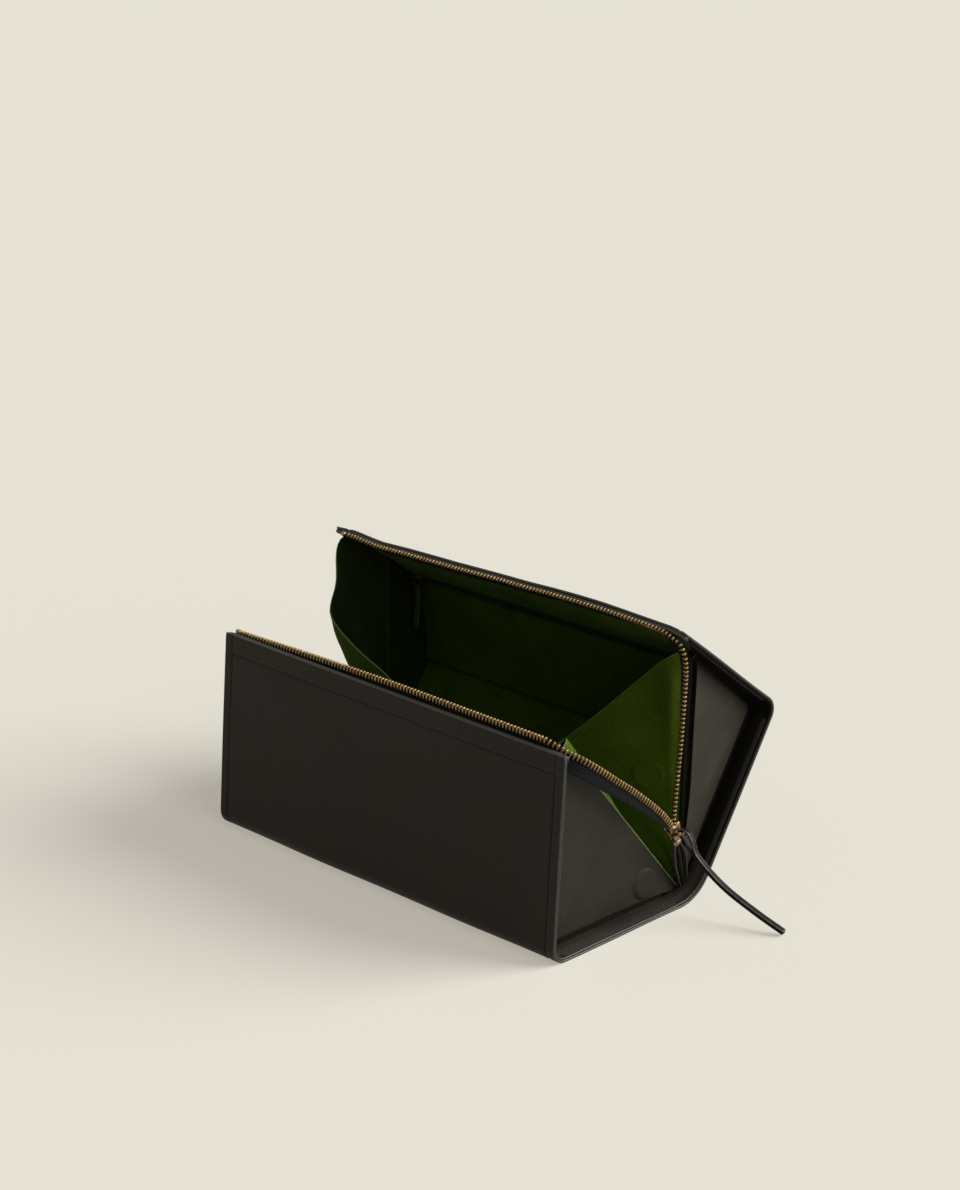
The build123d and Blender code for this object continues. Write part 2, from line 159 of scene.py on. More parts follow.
def sheet_normals(grid):
    """Unit vectors square to a grid of points."""
    across = np.gradient(grid, axis=0)
    along = np.gradient(grid, axis=1)
    normal = np.cross(across, along)
    return normal / np.maximum(np.linalg.norm(normal, axis=2, keepdims=True), 1e-9)


# How round a cut edge is, as a share of half its thickness
edge_round = 0.8


def skin(name, grid, thick, finishes, inward=1, line=None, shaded=()):
    """A sheet with a grid of points, in mm, as its outer face: both faces and a rounded cut edge.

    A fourth finish goes on a line of the edge, beside the outer face or along the last row, as a painted
    highlight, or on the outer face's shaded columns, as painted shade."""
    rows, columns = grid.shape[:2]
    normal = sheet_normals(grid) * inward
    back = grid + normal * thick
    loop = (
        [(0, j) for j in range(columns)]
        + [(i, columns - 1) for i in range(1, rows)]
        + [(rows - 1, j) for j in range(columns - 2, -1, -1)]
        + [(i, 0) for i in range(rows - 2, 0, -1)]
    )
    run_u = np.zeros((rows, columns))
    run_v = np.zeros((rows, columns))
    run_u[:, 1:] = np.cumsum(np.linalg.norm(np.diff(grid, axis=1), axis=2), axis=1)
    run_u -= run_u[:, columns // 2][:, None]
    run_v[1:] = np.cumsum(np.linalg.norm(np.diff(grid, axis=0), axis=2).mean(1))[:, None]
    points = [*grid.reshape(-1, 3), *back.reshape(-1, 3)]
    chart = [*np.stack([run_u, run_v], 2).reshape(-1, 2)] * 2
    rim = []
    for i, j in loop:
        inner_i = min(max(i, 1), rows - 2)
        inner_j = min(max(j, 1), columns - 2)
        outward = grid[i, j] - grid[inner_i, inner_j]
        outward -= normal[i, j] * (outward @ normal[i, j])
        outward /= max(np.linalg.norm(outward), 1e-9)
        here = chart[i * columns + j]
        away = here - chart[inner_i * columns + inner_j]
        away = away / max(np.linalg.norm(away), 1e-9)
        for k in (1, 2, 3):
            turn = math.pi * k / 4
            lift = thick / 2 * (1 - math.cos(turn))
            rim.append(grid[i, j] + normal[i, j] * lift
                       + outward * (thick / 2 * edge_round * math.sin(turn)))
            chart.append(here + away * thick * 0.35 * k)
    points += rim
    faces = []
    kinds = []
    size = rows * columns
    for i in range(rows - 1):
        for j in range(columns - 1):
            a = i * columns + j
            faces.append((a, a + 1, a + columns + 1, a + columns))
            faces.append((size + a + columns, size + a + columns + 1, size + a + 1, size + a))
            kinds += [3 if j in shaded else 0, 1]
    total = len(loop)
    for k, (i, j) in enumerate(loop):
        after = (k + 1) % total
        i2, j2 = loop[after]
        this = [i * columns + j] + [2 * size + 3 * k + n for n in range(3)] + [size + i * columns + j]
        that = [i2 * columns + j2] + [2 * size + 3 * after + n for n in range(3)]
        that.append(size + i2 * columns + j2)
        for n in range(4):
            faces.append((this[n], that[n], that[n + 1], this[n + 1]))
            on_line = (line == "face" and n == 0) or (line == "last" and i == i2 == rows - 1)
            kinds.append(3 if on_line else 2)
    return mesh_piece(name, points, faces, finishes, chart, kinds)


def mesh_piece(name, points, faces, finishes, chart=None, kinds=None):
    """A smooth-shaded piece from points in mm, with its faces turned outward."""
    mesh = bpy.data.meshes.new(name)
    mesh.from_pydata([tuple(np.asarray(p) * 0.001) for p in points], [], faces)
    for finish in finishes:
        mesh.materials.append(finish)
    if kinds is not None:
        slots = [min(k, len(finishes) - 1) for k in kinds]
        mesh.polygons.foreach_set("material_index", slots)
    if chart is not None:
        layer = mesh.uv_layers.new(name="lay")
        corner_points = np.zeros(len(mesh.loops), int)
        mesh.loops.foreach_get("vertex_index", corner_points)
        layer.data.foreach_set("uv", (np.array(chart)[corner_points] * 0.001).ravel())
    mesh.polygons.foreach_set("use_smooth", [True] * len(mesh.polygons))
    work = bmesh.new()
    work.from_mesh(mesh)
    bmesh.ops.recalc_face_normals(work, faces=work.faces)
    work.to_mesh(mesh)
    work.free()
    piece = bpy.data.objects.new(name, mesh)
    bpy.context.scene.collection.objects.link(piece)
    return piece


def finish(name, colour, roughness, metallic=0.0, sheen=0.0, shine=0.5):
    """A new material with its shader and the tree it is built in."""
    material = bpy.data.materials.new(name)
    material.use_nodes = True
    tree = material.node_tree
    shader = tree.nodes["Principled BSDF"]
    shader.inputs["Base Color"].default_value = (*colour, 1)
    shader.inputs["Roughness"].default_value = roughness
    shader.inputs["Metallic"].default_value = metallic
    shader.inputs["Sheen Weight"].default_value = sheen
    shader.inputs["Sheen Roughness"].default_value = 0.5
    shader.inputs["Specular IOR Level"].default_value = shine
    return material, tree, shader


def add(tree, kind, inputs=None, **settings):
    """A new node, with its inputs linked or set."""
    node = tree.nodes.new("ShaderNode" + kind)
    for key, value in settings.items():
        setattr(node, key, value)
    for key, value in (inputs or {}).items():
        if isinstance(value, bpy.types.NodeSocket):
            tree.links.new(value, node.inputs[key])
        else:
            node.inputs[key].default_value = value
    return node


def calc(tree, operation, a, b=0.0):
    """What a sum of two values or sockets comes to."""
    return add(tree, "Math", {0: a, 1: b}, operation=operation).outputs[0]


def noise(tree, lay, scale, detail, roughness=0.5):
    """A cloudy value over the lay."""
    return add(tree, "TexNoise", {"Vector": lay, "Scale": scale, "Detail": detail,
                                  "Roughness": roughness}).outputs[0]


def times(colour, by):
    """A colour made darker or lighter."""
    return tuple(c * by for c in colour)


def paint(tree, shader, factor, stops):
    """Gives the shader a colour that follows a factor through stops of (place, colour)."""
    node = add(tree, "ValToRGB", {"Fac": factor})
    band = node.color_ramp
    while len(band.elements) < len(stops):
        band.elements.new(0.5)
    for element, (at, value) in zip(band.elements, stops):
        element.position = at
        element.color = (*value, 1)
    tree.links.new(node.outputs["Color"], shader.inputs["Base Color"])


def laid(tree, on_frame=False):
    """The piece's own lay on its material, or a frame part's own space, in metres."""
    if on_frame:
        return add(tree, "TexCoord").outputs["Object"]
    return add(tree, "UVMap", uv_map="lay").outputs[0]


def bump(tree, shader, layers):
    """Relief from layers of (height, depth in metres, strength)."""
    normal = None
    for relief, reach, strength in layers:
        inputs = {"Height": relief, "Distance": reach, "Strength": strength}
        if normal is not None:
            inputs["Normal"] = normal
        normal = add(tree, "Bump", inputs).outputs[0]
    tree.links.new(normal, shader.inputs["Normal"])


def leather_finish(name, colour, roughness, grain=1.0, shine=0.17):
    """Black leather: small pebbled grain, a few soft rubs, duller where it is handled."""
    material, tree, shader = finish(name, colour, roughness, shine=shine)
    lay = laid(tree)
    pebble = add(tree, "TexVoronoi", {"Vector": lay, "Scale": 950.0}, feature="SMOOTH_F1")
    fine = noise(tree, lay, 1500.0, 4.0, 0.7)
    broad = noise(tree, lay, 26.0, 4.0, 0.55)
    speckle = calc(tree, "ADD", calc(tree, "MULTIPLY", broad, 0.45), calc(tree, "MULTIPLY", fine, 0.55))
    paint(tree, shader, speckle, [(0.36, times(colour, 0.55)), (0.5, colour), (0.64, times(colour, 1.7))])
    uneven = add(tree, "MapRange", {"Value": speckle, 1: 0.4, 2: 0.6, 3: roughness - 0.07,
                                    4: roughness + 0.09})
    tree.links.new(uneven.outputs[0], shader.inputs["Roughness"])
    bump(tree, shader, [(broad, 0.0008, 0.35), (pebble.outputs[0], 0.00016 * grain, 0.7),
                        (fine, 0.00008 * grain, 0.6)])
    return material


black_leather = leather_finish("black_leather", (0.0180, 0.0152, 0.0108), 0.54, 1.3)
flesh_side, tree, shader = finish("flesh_side", (0.03, 0.027, 0.022), 0.85)
bump(tree, shader, [(noise(tree, laid(tree), 1800.0, 4.0), 0.0002, 0.5)])


def painted_edge(name, dark, light, roughness):
    """Brushed-on edge paint, thinner in places where the cut fibres show; on the strap the same look is a
    painted highlight.
    """
    material, tree, shader = finish(name, dark, roughness)
    brushed = noise(tree, laid(tree), 420.0, 3.0)
    paint(tree, shader, brushed, [(0.3, dark), (0.75, light)])
    bump(tree, shader, [(brushed, 0.0002, 0.4)])
    return material


edge_paint = painted_edge("edge_paint", (0.008, 0.0074, 0.0066), (0.028, 0.026, 0.022), 0.45)

lid_front = lean - depth
rim_seam = 10.5
seam_x = half_length - 5.9
seam_dip = 0.45
across = np.concatenate([np.linspace(-124.5, -115.5, 17), np.linspace(-112, 112, 60),
                         np.linspace(115.5, 124.5, 17)])
wrap_line, wrap_half = wall_run(0.0, height, lid_front, step=1.5)
wrap_reach = reach_along(wrap_line)
wave = (0.15 * np.sin(across[None, :] / 17.0 + wrap_line[:, :1] / 13.0)
        + 0.12 * np.sin(across[None, :] / 41.0 + 2.0 + wrap_line[:, 1:] / 23.0))
pressed = np.exp(-((np.abs(across) - seam_x) / 0.75) ** 2)[None, :] + np.zeros((len(wrap_line), 1))
for reach in (wrap_reach, wrap_reach[-1] - wrap_reach):
    rim_groove = np.exp(-((reach[:, None] - rim_seam) / 0.8) ** 2) * (np.abs(across) < seam_x)[None, :]
    pressed = np.maximum(pressed, rim_groove)
wrap_grid = place(across[None, :], wrap_line[:, :1], wrap_line[:, 1:], wrap_half[:, None])
wrap_out = sheet_normals(wrap_grid)
wrap_grid = wrap_grid + wrap_out * (wave - seam_dip * pressed)[:, :, None]
wrap_grid[:, :, 2] = np.maximum(wrap_grid[:, :, 2], 0.02)
outer_wrap = skin("outer_wrap", wrap_grid, leather, [black_leather, flesh_side, edge_paint], inward=-1)
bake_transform(outer_wrap)
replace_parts(outer_wrap, "front_and_bottom_leather", "rear_fold_leather", "back_and_lid_leather")

thread, tree, shader = finish("waxed_thread", (0.0024, 0.0022, 0.002), 0.7, shine=0.04)
twist = add(tree, "TexWave", {"Vector": laid(tree), "Scale": 900.0, "Distortion": 2.0})
paint(tree, shader, twist.outputs[1], [(0.2, (0.0015, 0.0014, 0.0013)), (0.8, (0.0035, 0.0032, 0.003))])
bump(tree, shader, [(twist.outputs[1], 0.0001, 0.5)])


def tube_faces(rings, sides, first=0):
    """The sides and both ends of a tube built from rings of points."""
    faces = []
    for ring in range(rings - 1):
        for k in range(sides):
            a, b = first + ring * sides + k, first + ring * sides + (k + 1) % sides
            faces.append((a, b, b + sides, a + sides))
    last = first + (rings - 1) * sides
    return faces + [tuple(range(first, first + sides)), tuple(range(last, last + sides))]


# Each stitch: how far along it, how thick it is there and how high over the leather
stitch_pitch = 2.4
stitch_shape = [(-0.95, 0.12, -0.3), (-0.7, 0.27, -0.1), (0, 0.3, -0.04), (0.7, 0.27, -0.1), (0.95, 0.12, -0.3)]


def stitch_rows(name, rows):
    """Saddle stitches along rows of (points, outward vectors), as one piece."""
    points, faces = [], []
    for line, outward in rows:
        reach = reach_along(line)
        count = int(reach[-1] / stitch_pitch)
        for at in (np.arange(count) + 0.5) * reach[-1] / count:
            spots = [np.array([np.interp(at + along, reach, line[:, k]) for k in range(3)])
                     for along, _, _ in stitch_shape]
            out = np.array([np.interp(at, reach, outward[:, k]) for k in range(3)])
            run = spots[4] - spots[0]
            side = np.cross(run, out)
            side /= np.linalg.norm(side)
            first = len(points)
            for spot, (_, thick, lift) in zip(spots, stitch_shape):
                for k in range(6):
                    turn = k * math.pi / 3
                    points.append(spot + out * (lift + thick * math.sin(turn)) + side * thick * math.cos(turn))
            faces += tube_faces(5, 6, first)
    chart = [(p[0] + p[1], p[2] + p[1]) for p in points]
    return mesh_piece(name, points, faces, [thread], chart)


def grid_row(grid, outward, rows, columns):
    """One line of a sheet, with its outward vectors."""
    return grid[rows, columns], outward[rows, columns]


front_row_at = int(np.argmin(np.abs(wrap_reach - rim_seam)))
lid_row_at = int(np.argmin(np.abs(wrap_reach[-1] - wrap_reach - rim_seam)))
inner_columns = np.flatnonzero(np.abs(across) <= seam_x + 0.1)
wrap_rows = []
for column in (inner_columns[0], inner_columns[-1]):
    wrap_rows.append(grid_row(wrap_grid, wrap_out, slice(front_row_at, lid_row_at + 1), column))
for row in (front_row_at, lid_row_at):
    wrap_rows.append(grid_row(wrap_grid, wrap_out, row, inner_columns))
wrap_stitches = stitch_rows("wrap_stitches", wrap_rows)
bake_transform(wrap_stitches)

# STIFFENING BOARDS
# Black fibre board, 1.8 mm thick, is glued behind the leather of each wall. A strip of leather
# fills the edge above it at the front wall's top and along the lid's front.
board = 1.8
board_back = leather + board


def dress(node, material):
    """Gives a frame part its material."""
    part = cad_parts[node]
    if part.material_slots:
        part.material_slots[0].material = material
    else:
        part.data.materials.append(material)


fibre_board, tree, shader = finish("fibre_board", (0.014, 0.013, 0.011), 0.9)
pulp = noise(tree, laid(tree, on_frame=True), 900.0, 5.0)
paint(tree, shader, pulp, [(0.3, (0.009, 0.0082, 0.0072)), (0.7, (0.020, 0.0185, 0.016))])
bump(tree, shader, [(pulp, 0.0002, 0.5)])
for node in ("front_board", "bottom_board", "back_board"):
    dress(node, fibre_board)

lid_rows = np.linspace(-lean - 10.5, lid_front + 2, 26)
board_across = np.linspace(-123, 123, 64)
lid_board = skin(
    "lid_stiff_board",
    place(board_across[None, :], lid_rows[:, None], height - leather, 1),
    board,
    [fibre_board],
    inward=-1,
)
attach(lid_board, "back_half")
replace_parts(lid_board, "lid_board")

for name, body, strip in (
    ("front_rim_filler", "front_half", [front_wall(leather, v) for v in (108.1, 109.0, 109.8)]),
    ("lid_rim_filler", "back_half", [(lid_front + back, height - leather) for back in (1.9, 1, 0.2)]),
):
    strip = np.array(strip)
    upper = 1 if body == "back_half" else 0
    grid = place(np.linspace(-124, 124, 90)[None, :], strip[:, :1], strip[:, 1:], upper)
    filler = skin(name, grid, 2.2, [black_leather, black_leather, edge_paint], inward=-1 if upper else 1)
    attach(filler, body)

# INNER LINING
# Close-woven dark green cloth, glued to the boards of all four walls and turned over the
# bare leather at the fold. It is one piece from rim to rim.
lining = 0.6
lining_back = board_back + lining
inside = 109.4


def cloth_finish(name, colour):
    """Plain-woven cotton: crossing threads, slubs, and a soft bloom at a low angle."""
    weave = 0.00042
    material, tree, shader = finish(name, colour, 0.86, sheen=0.03, shine=0.12)
    shader.inputs["Sheen Tint"].default_value = (0.6, 0.75, 0.3, 1)
    lay = laid(tree)
    parts = add(tree, "SeparateXYZ", {0: lay})
    warp = calc(tree, "SINE", calc(tree, "MULTIPLY", parts.outputs[0], 2 * math.pi / weave))
    weft = calc(tree, "SINE", calc(tree, "MULTIPLY", parts.outputs[1], 2 * math.pi / weave))
    woven = calc(tree, "MULTIPLY", warp, weft)
    slub = noise(tree, lay, 700.0, 3.0)
    cloudy = noise(tree, lay, 38.0, 4.0)
    mixed = calc(tree, "ADD", calc(tree, "MULTIPLY", slub, 0.5), calc(tree, "MULTIPLY", cloudy, 0.5))
    paint(tree, shader, mixed, [(0.36, times(colour, 0.7)), (0.64, times(colour, 1.3))])
    bump(tree, shader, [(cloudy, 0.001, 0.25), (woven, 0.00012, 0.5), (slub, 0.0002, 0.35)])
    return material


green_cloth = cloth_finish("green_cloth", (0.047, 0.088, 0.0022))
# Painted shade: a much darker copy of the green cloth, for the shadow on the end panels' lining and the gussets'
# inner faces
painted_shade_cloth = cloth_finish("painted_shade_cloth", (0.010, 0.0175, 0.0010))
# Painted highlight: a pale green cloth for the hems and cut edges of cloth pieces, where light catches them
painted_highlight_cloth = cloth_finish("painted_highlight_cloth", (0.20, 0.27, 0.11))
lining_line, lining_half = wall_run(board_back, height - 2.0, lid_front + 2.0, fold_inset=board_back)
lining_across = np.linspace(-inside, inside, 74)
puff = 0.25 + 0.25 * np.sin(lining_across[None, :] / 11.0 + lining_line[:, :1] / 7.0) * np.sin(
    lining_line[:, 1:] / 9.0 + lining_across[None, :] / 29.0)
lining_grid = place(lining_across[None, :], lining_line[:, :1], lining_line[:, 1:], lining_half[:, None])
lining_grid = lining_grid - sheet_normals(lining_grid) * puff[:, :, None]
inner_lining = skin("inner_lining", lining_grid, lining, [green_cloth], inward=-1)
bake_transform(inner_lining)
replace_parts(inner_lining, "front_lining", "bottom_lining", "rear_fold_lining", "back_lining", "lid_lining")

# END PANELS
# At each end a leather triangle closes each half. It is set back 12 mm, its rim is turned
# outward and sewn to the walls, and a round magnet lies behind the front one.
panel_face = 113.0
cloth_x = 109.7
flange = 1.2
panel_top = 104.0
front_edge_angle = 129.2
rear_edge_angle = 125.5
rim_x = 124.3
magnet_place = (33.8 * math.cos(math.radians(152.0)), 33.8 * math.sin(math.radians(152.0)))
magnet_reach = 8.3
panel_line_radius = corner_radius - board_back
# Painted shade: near-black leather for the shadow in the recesses, on the rear panels' rims, turns and cut edges
# and on the front panels' turns
painted_shade_leather = leather_finish("painted_shade_leather", (0.0026, 0.0022, 0.0018), 0.75, shine=0.07)
# Painted light: a lighter copy of the black leather, so the rear panels' faces look more brightly lit
painted_light_leather = leather_finish("painted_light_leather", (0.031, 0.0268, 0.0205), 0.52)

# Across a turned-out rim, from its cut edge: how far in from that edge, and how far off the board
rim_rows = [(0, -0.5), (1.5, -0.45), (3, 0.0), (4.5, 0.7), (6, 1.1)]
rim_foot = 1.2


def ray(angle, reach):
    """A point of the section at an angle and distance from the rear fold."""
    turn = math.radians(angle)
    return np.array([reach * math.cos(turn), reach * math.sin(turn)])


def heading(line):
    """Unit vectors along a line."""
    run = np.gradient(line, axis=0)
    run /= np.linalg.norm(run, axis=1, keepdims=True)
    return run


def inward_of(line):
    """Unit vectors square to a section line, to its left."""
    run = heading(line)
    return np.stack([-run[:, 1], run[:, 0]], 1)


def matched(start, end, line):
    """Points of a straight edge, spaced as the points of a line are."""
    steps = reach_along(line)
    share = (steps / steps[-1])[:, None]
    return np.asarray(start) * (1 - share) + np.asarray(end) * share


front_rim_line = rounded([front_wall(board_back, panel_top), front_wall(board_back, board_back),
                          (-16, board_back)], panel_line_radius, 1.6)
front_slant = matched(ray(front_edge_angle, panel_top / math.sin(math.radians(front_edge_angle))),
                      ray(front_edge_angle, 6.5), front_rim_line)
wall_foot = back_wall(board_back, 16.0)
lid_v = height - board_back
rear_rim_line = rounded([wall_foot, back_wall(board_back, lid_v), (-76.2, lid_v)], panel_line_radius, 1.6)
rear_slant = matched(ray(rear_edge_angle, 6.5),
                     ray(rear_edge_angle, lid_v / math.sin(math.radians(rear_edge_angle))), rear_rim_line)


def end_panel(name, side, line, slant_edge, upper, turn_radius, magnet):
    """One leather triangle: its rim, the turn at the rim's foot, and its slightly padded face."""
    inward = inward_of(line)
    flange_rows = [(rim_x - back, offset) for back, offset in rim_rows]
    flange_rows.append((panel_face + turn_radius + 0.4, rim_foot))
    for step in range(1, 7):
        turn = math.pi / 2 * step / 6
        flange_rows.append((panel_face + turn_radius * (1 - math.sin(turn)),
                            rim_foot + turn_radius * (1 - math.cos(turn))))
    rows = []
    for x, offset in flange_rows:
        out = max(x - panel_face, 0.0) / (rim_x - panel_face)
        spot = line + inward * offset
        if upper:
            spot[:, 0] -= 21.0 * out * ease((-46 - line[:, 0]) / 30.0)
        else:
            spot[:, 1] += 4.0 * out * ease((line[:, 1] - 80) / 24.0)
        rows.append(place(side * x, spot[:, 0], spot[:, 1], upper))
    face_start = line + inward * (rim_foot + turn_radius)
    face_wide = np.linalg.norm(slant_edge - face_start, axis=1)
    bow = np.sin(np.linspace(0, math.pi, len(line)))
    lean_out = 2.0 * ease((np.linalg.norm(slant_edge, axis=1) - 26.0) / 40.0)
    for share in np.linspace(0, 1, 62)[1:]:
        spot = face_start * (1 - share) + slant_edge * share
        swell = 1.1 * ease(share * face_wide / 4.5)
        swell = swell + (0.5 * math.sin(math.pi * share) * bow + lean_out * share ** 1.3) * upper
        if magnet:
            reach = np.hypot(spot[:, 0] - magnet_place[0], spot[:, 1] - magnet_place[1])
            swell = swell + ease((magnet_reach - reach) / 0.8)
        rows.append(place(side * (panel_face + swell), spot[:, 0], spot[:, 1], upper))
    grid = np.stack(rows, axis=1)
    inner_side = sheet_normals(grid)[len(line) // 2, 40][0] * side
    # Rear panels: painted light on the face, and painted shade on the rim, the turn and the cut edge. Front
    # panels: painted shade on the turn at the rim's foot.
    if upper:
        finishes, shaded = [painted_light_leather, flesh_side, painted_shade_leather, painted_shade_leather], range(14)
    else:
        finishes, shaded = [black_leather, flesh_side, edge_paint, painted_shade_leather], range(5, 12)
    panel = skin(name, grid, flange, finishes, inward=-1 if inner_side > 0 else 1, shaded=shaded)
    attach(panel, "back_half" if upper else "front_half")
    return panel


def fold_welt(name, side):
    """The rims' leather where it rounds the rear fold and runs out under both rims."""
    columns = []
    angles = np.radians(-90 + (shut_turn - open_angle) * np.arange(15) / 14)
    circle = np.stack([np.cos(angles), np.sin(angles)], 1)
    for x, offset in [*[(rim_x - back, offset) for back, offset in rim_rows], (panel_face + 1.3, rim_foot)]:
        inset = board_back + offset - 0.15
        over = inset + 0.4
        arc = np.array([-fold_reach, fold_radius]) + (fold_radius - over) * circle
        spots = np.vstack([[(-22, inset - 0.5), (-18.5, inset), (-16.5, over)], arc,
                           [back_wall(over, 16.5), back_wall(inset, 18.5), back_wall(inset - 0.5, 22)]])
        columns.append(place(side * x, spots[:, 0], spots[:, 1], np.arange(len(spots)) > 17))
    grid = np.stack(columns, axis=1)
    outward = sheet_normals(grid)[8, 3]
    welt = skin(name, grid, 0.9, [black_leather, flesh_side, edge_paint], inward=-1 if outward[2] > 0 else 1)
    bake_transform(welt)


def end_cloth(name, side, line, slant_edge, upper):
    """The lining behind an end panel, flat but for slight puckers."""
    rows = []
    for share in np.linspace(0.02, 0.99, 24):
        pucker = 0.2 * np.sin(line[:, 0] / 8 + share * 5)
        rows.append(place(side * (cloth_x + pucker), *(line * (1 - share) + slant_edge * share).T, upper))
    grid = np.stack(rows, axis=1)
    facing = sheet_normals(grid)[len(line) // 2, 12][0] * side
    # Its dark cloth is painted shade.
    cloth = skin(name, grid, 0.5, [painted_shade_cloth], inward=1 if facing > 0 else -1)
    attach(cloth, "back_half" if upper else "front_half")
    return cloth


plated_steel, tree, shader = finish("plated_steel", (0.5, 0.5, 0.5), 0.3, metallic=1.0)
bump(tree, shader, [(noise(tree, laid(tree, on_frame=True), 1200.0, 3.0), 0.0001, 0.4)])
for side_name, side in (("left", -1), ("right", 1)):
    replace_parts(end_panel(side_name + "_front_panel_leather", side, front_rim_line, front_slant, 0, 0.9, True),
                side_name + "_front_end_panel")
    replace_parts(end_panel(side_name + "_rear_panel_leather", side, rear_rim_line, rear_slant, 1, 1.1, False),
                side_name + "_rear_end_panel")
    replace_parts(end_cloth(side_name + "_front_panel_cloth", side, front_rim_line, front_slant, 0),
                side_name + "_front_end_lining")
    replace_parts(end_cloth(side_name + "_rear_panel_cloth", side, rear_rim_line, rear_slant, 1),
                side_name + "_rear_end_lining")
    dress(side_name + "_front_end_stiffener", fibre_board)
    dress(side_name + "_rear_end_stiffener", fibre_board)
    dress(side_name + "_front_end_magnet", plated_steel)
    fold_welt(side_name + "_fold_welt", side)

# GUSSETS
# A doubled wing of the lining cloth is sewn to the slanting edges of both panels at each end.
# It folds inward as the bag shuts, and a magnet inside its rear half meets the panel's.
gusset_x = 109.0
hem_x = 113.7
gusset_magnet = (63.6, 16.8)
slump_way = np.array([-17.0, -1.5, -2.0])
smoothings = 6

# The top edge of each wing's rear half, from its inward fold to the lid
gusset_sweep = {
    "left": [(-66, 31, 67), (-72.6, 30, 71.8), (-80.3, 30, 77.4), (-96, 28, 85.2), (-112, 26, 96.9),
             (-120.6, 25, 106.4), (-118.3, 30, 119.2), (-125.5, 36, 132), (-128, 41, 143.5), (-122, 48, 143)],
    "right": [(50, 29, 74), (64, 34.5, 87.5), (80, 42, 105), (98, 49, 124), (108.5, 50, 133)],
}


def smooth_path(points, step):
    """Evenly spaced points on a smooth line through the given ones."""
    points = np.array(points, float)
    ends = np.vstack([2 * points[0] - points[1], points, 2 * points[-1] - points[-2]])
    line = []
    for a, b, c, d in zip(ends, ends[1:], ends[2:], ends[3:]):
        for t in np.linspace(0, 1, 24, endpoint=False):
            line.append(0.5 * (2 * b + (c - a) * t + (2 * a - 5 * b + 4 * c - d) * t * t
                               + (3 * b - a - 3 * c + d) * t ** 3))
    line = np.array(line + [points[-1]])
    reach = reach_along(line)
    wanted = np.arange(0, reach[-1], step)
    return np.stack([np.interp(wanted, reach, line[:, k]) for k in range(3)], 1)


def blunt_ring(sides, power):
    """Points round a square with rounded corners that reaches 1 each way."""
    turns = np.arange(sides) * 2 * math.pi / sides
    circle = np.stack([np.cos(turns), np.sin(turns)], 1)
    return np.sign(circle) * np.abs(circle) ** power


def swept(path, across_way, wide, thick, sides=10):
    """Points and faces of a rounded bar along a path; across_way is the way its width runs."""
    run = heading(path)
    count = len(path)
    across_way = np.broadcast_to(np.asarray(across_way, float), (count, 3))
    wide, thick = np.broadcast_to(wide, count), np.broadcast_to(thick, count)
    ring = blunt_ring(sides, 0.7) / 2
    points = []
    for i in range(count):
        one = across_way[i] - run[i] * (across_way[i] @ run[i])
        one /= np.linalg.norm(one)
        two = np.cross(run[i], one)
        points += [path[i] + one * a * wide[i] + two * b * thick[i] for a, b in ring]
    return points, tube_faces(count, sides)


def joined(parts):
    """Points and faces of several shapes as one."""
    points, faces = [], []
    for some_points, some_faces in parts:
        faces += [tuple(k + len(points) for k in face) for face in some_faces]
        points += list(some_points)
    return points, faces


# Painted light: a brighter copy of the lining cloth, for the light that shines through the wings
painted_light_gusset_cloth = cloth_finish("painted_light_gusset_cloth", (0.058, 0.102, 0.003))


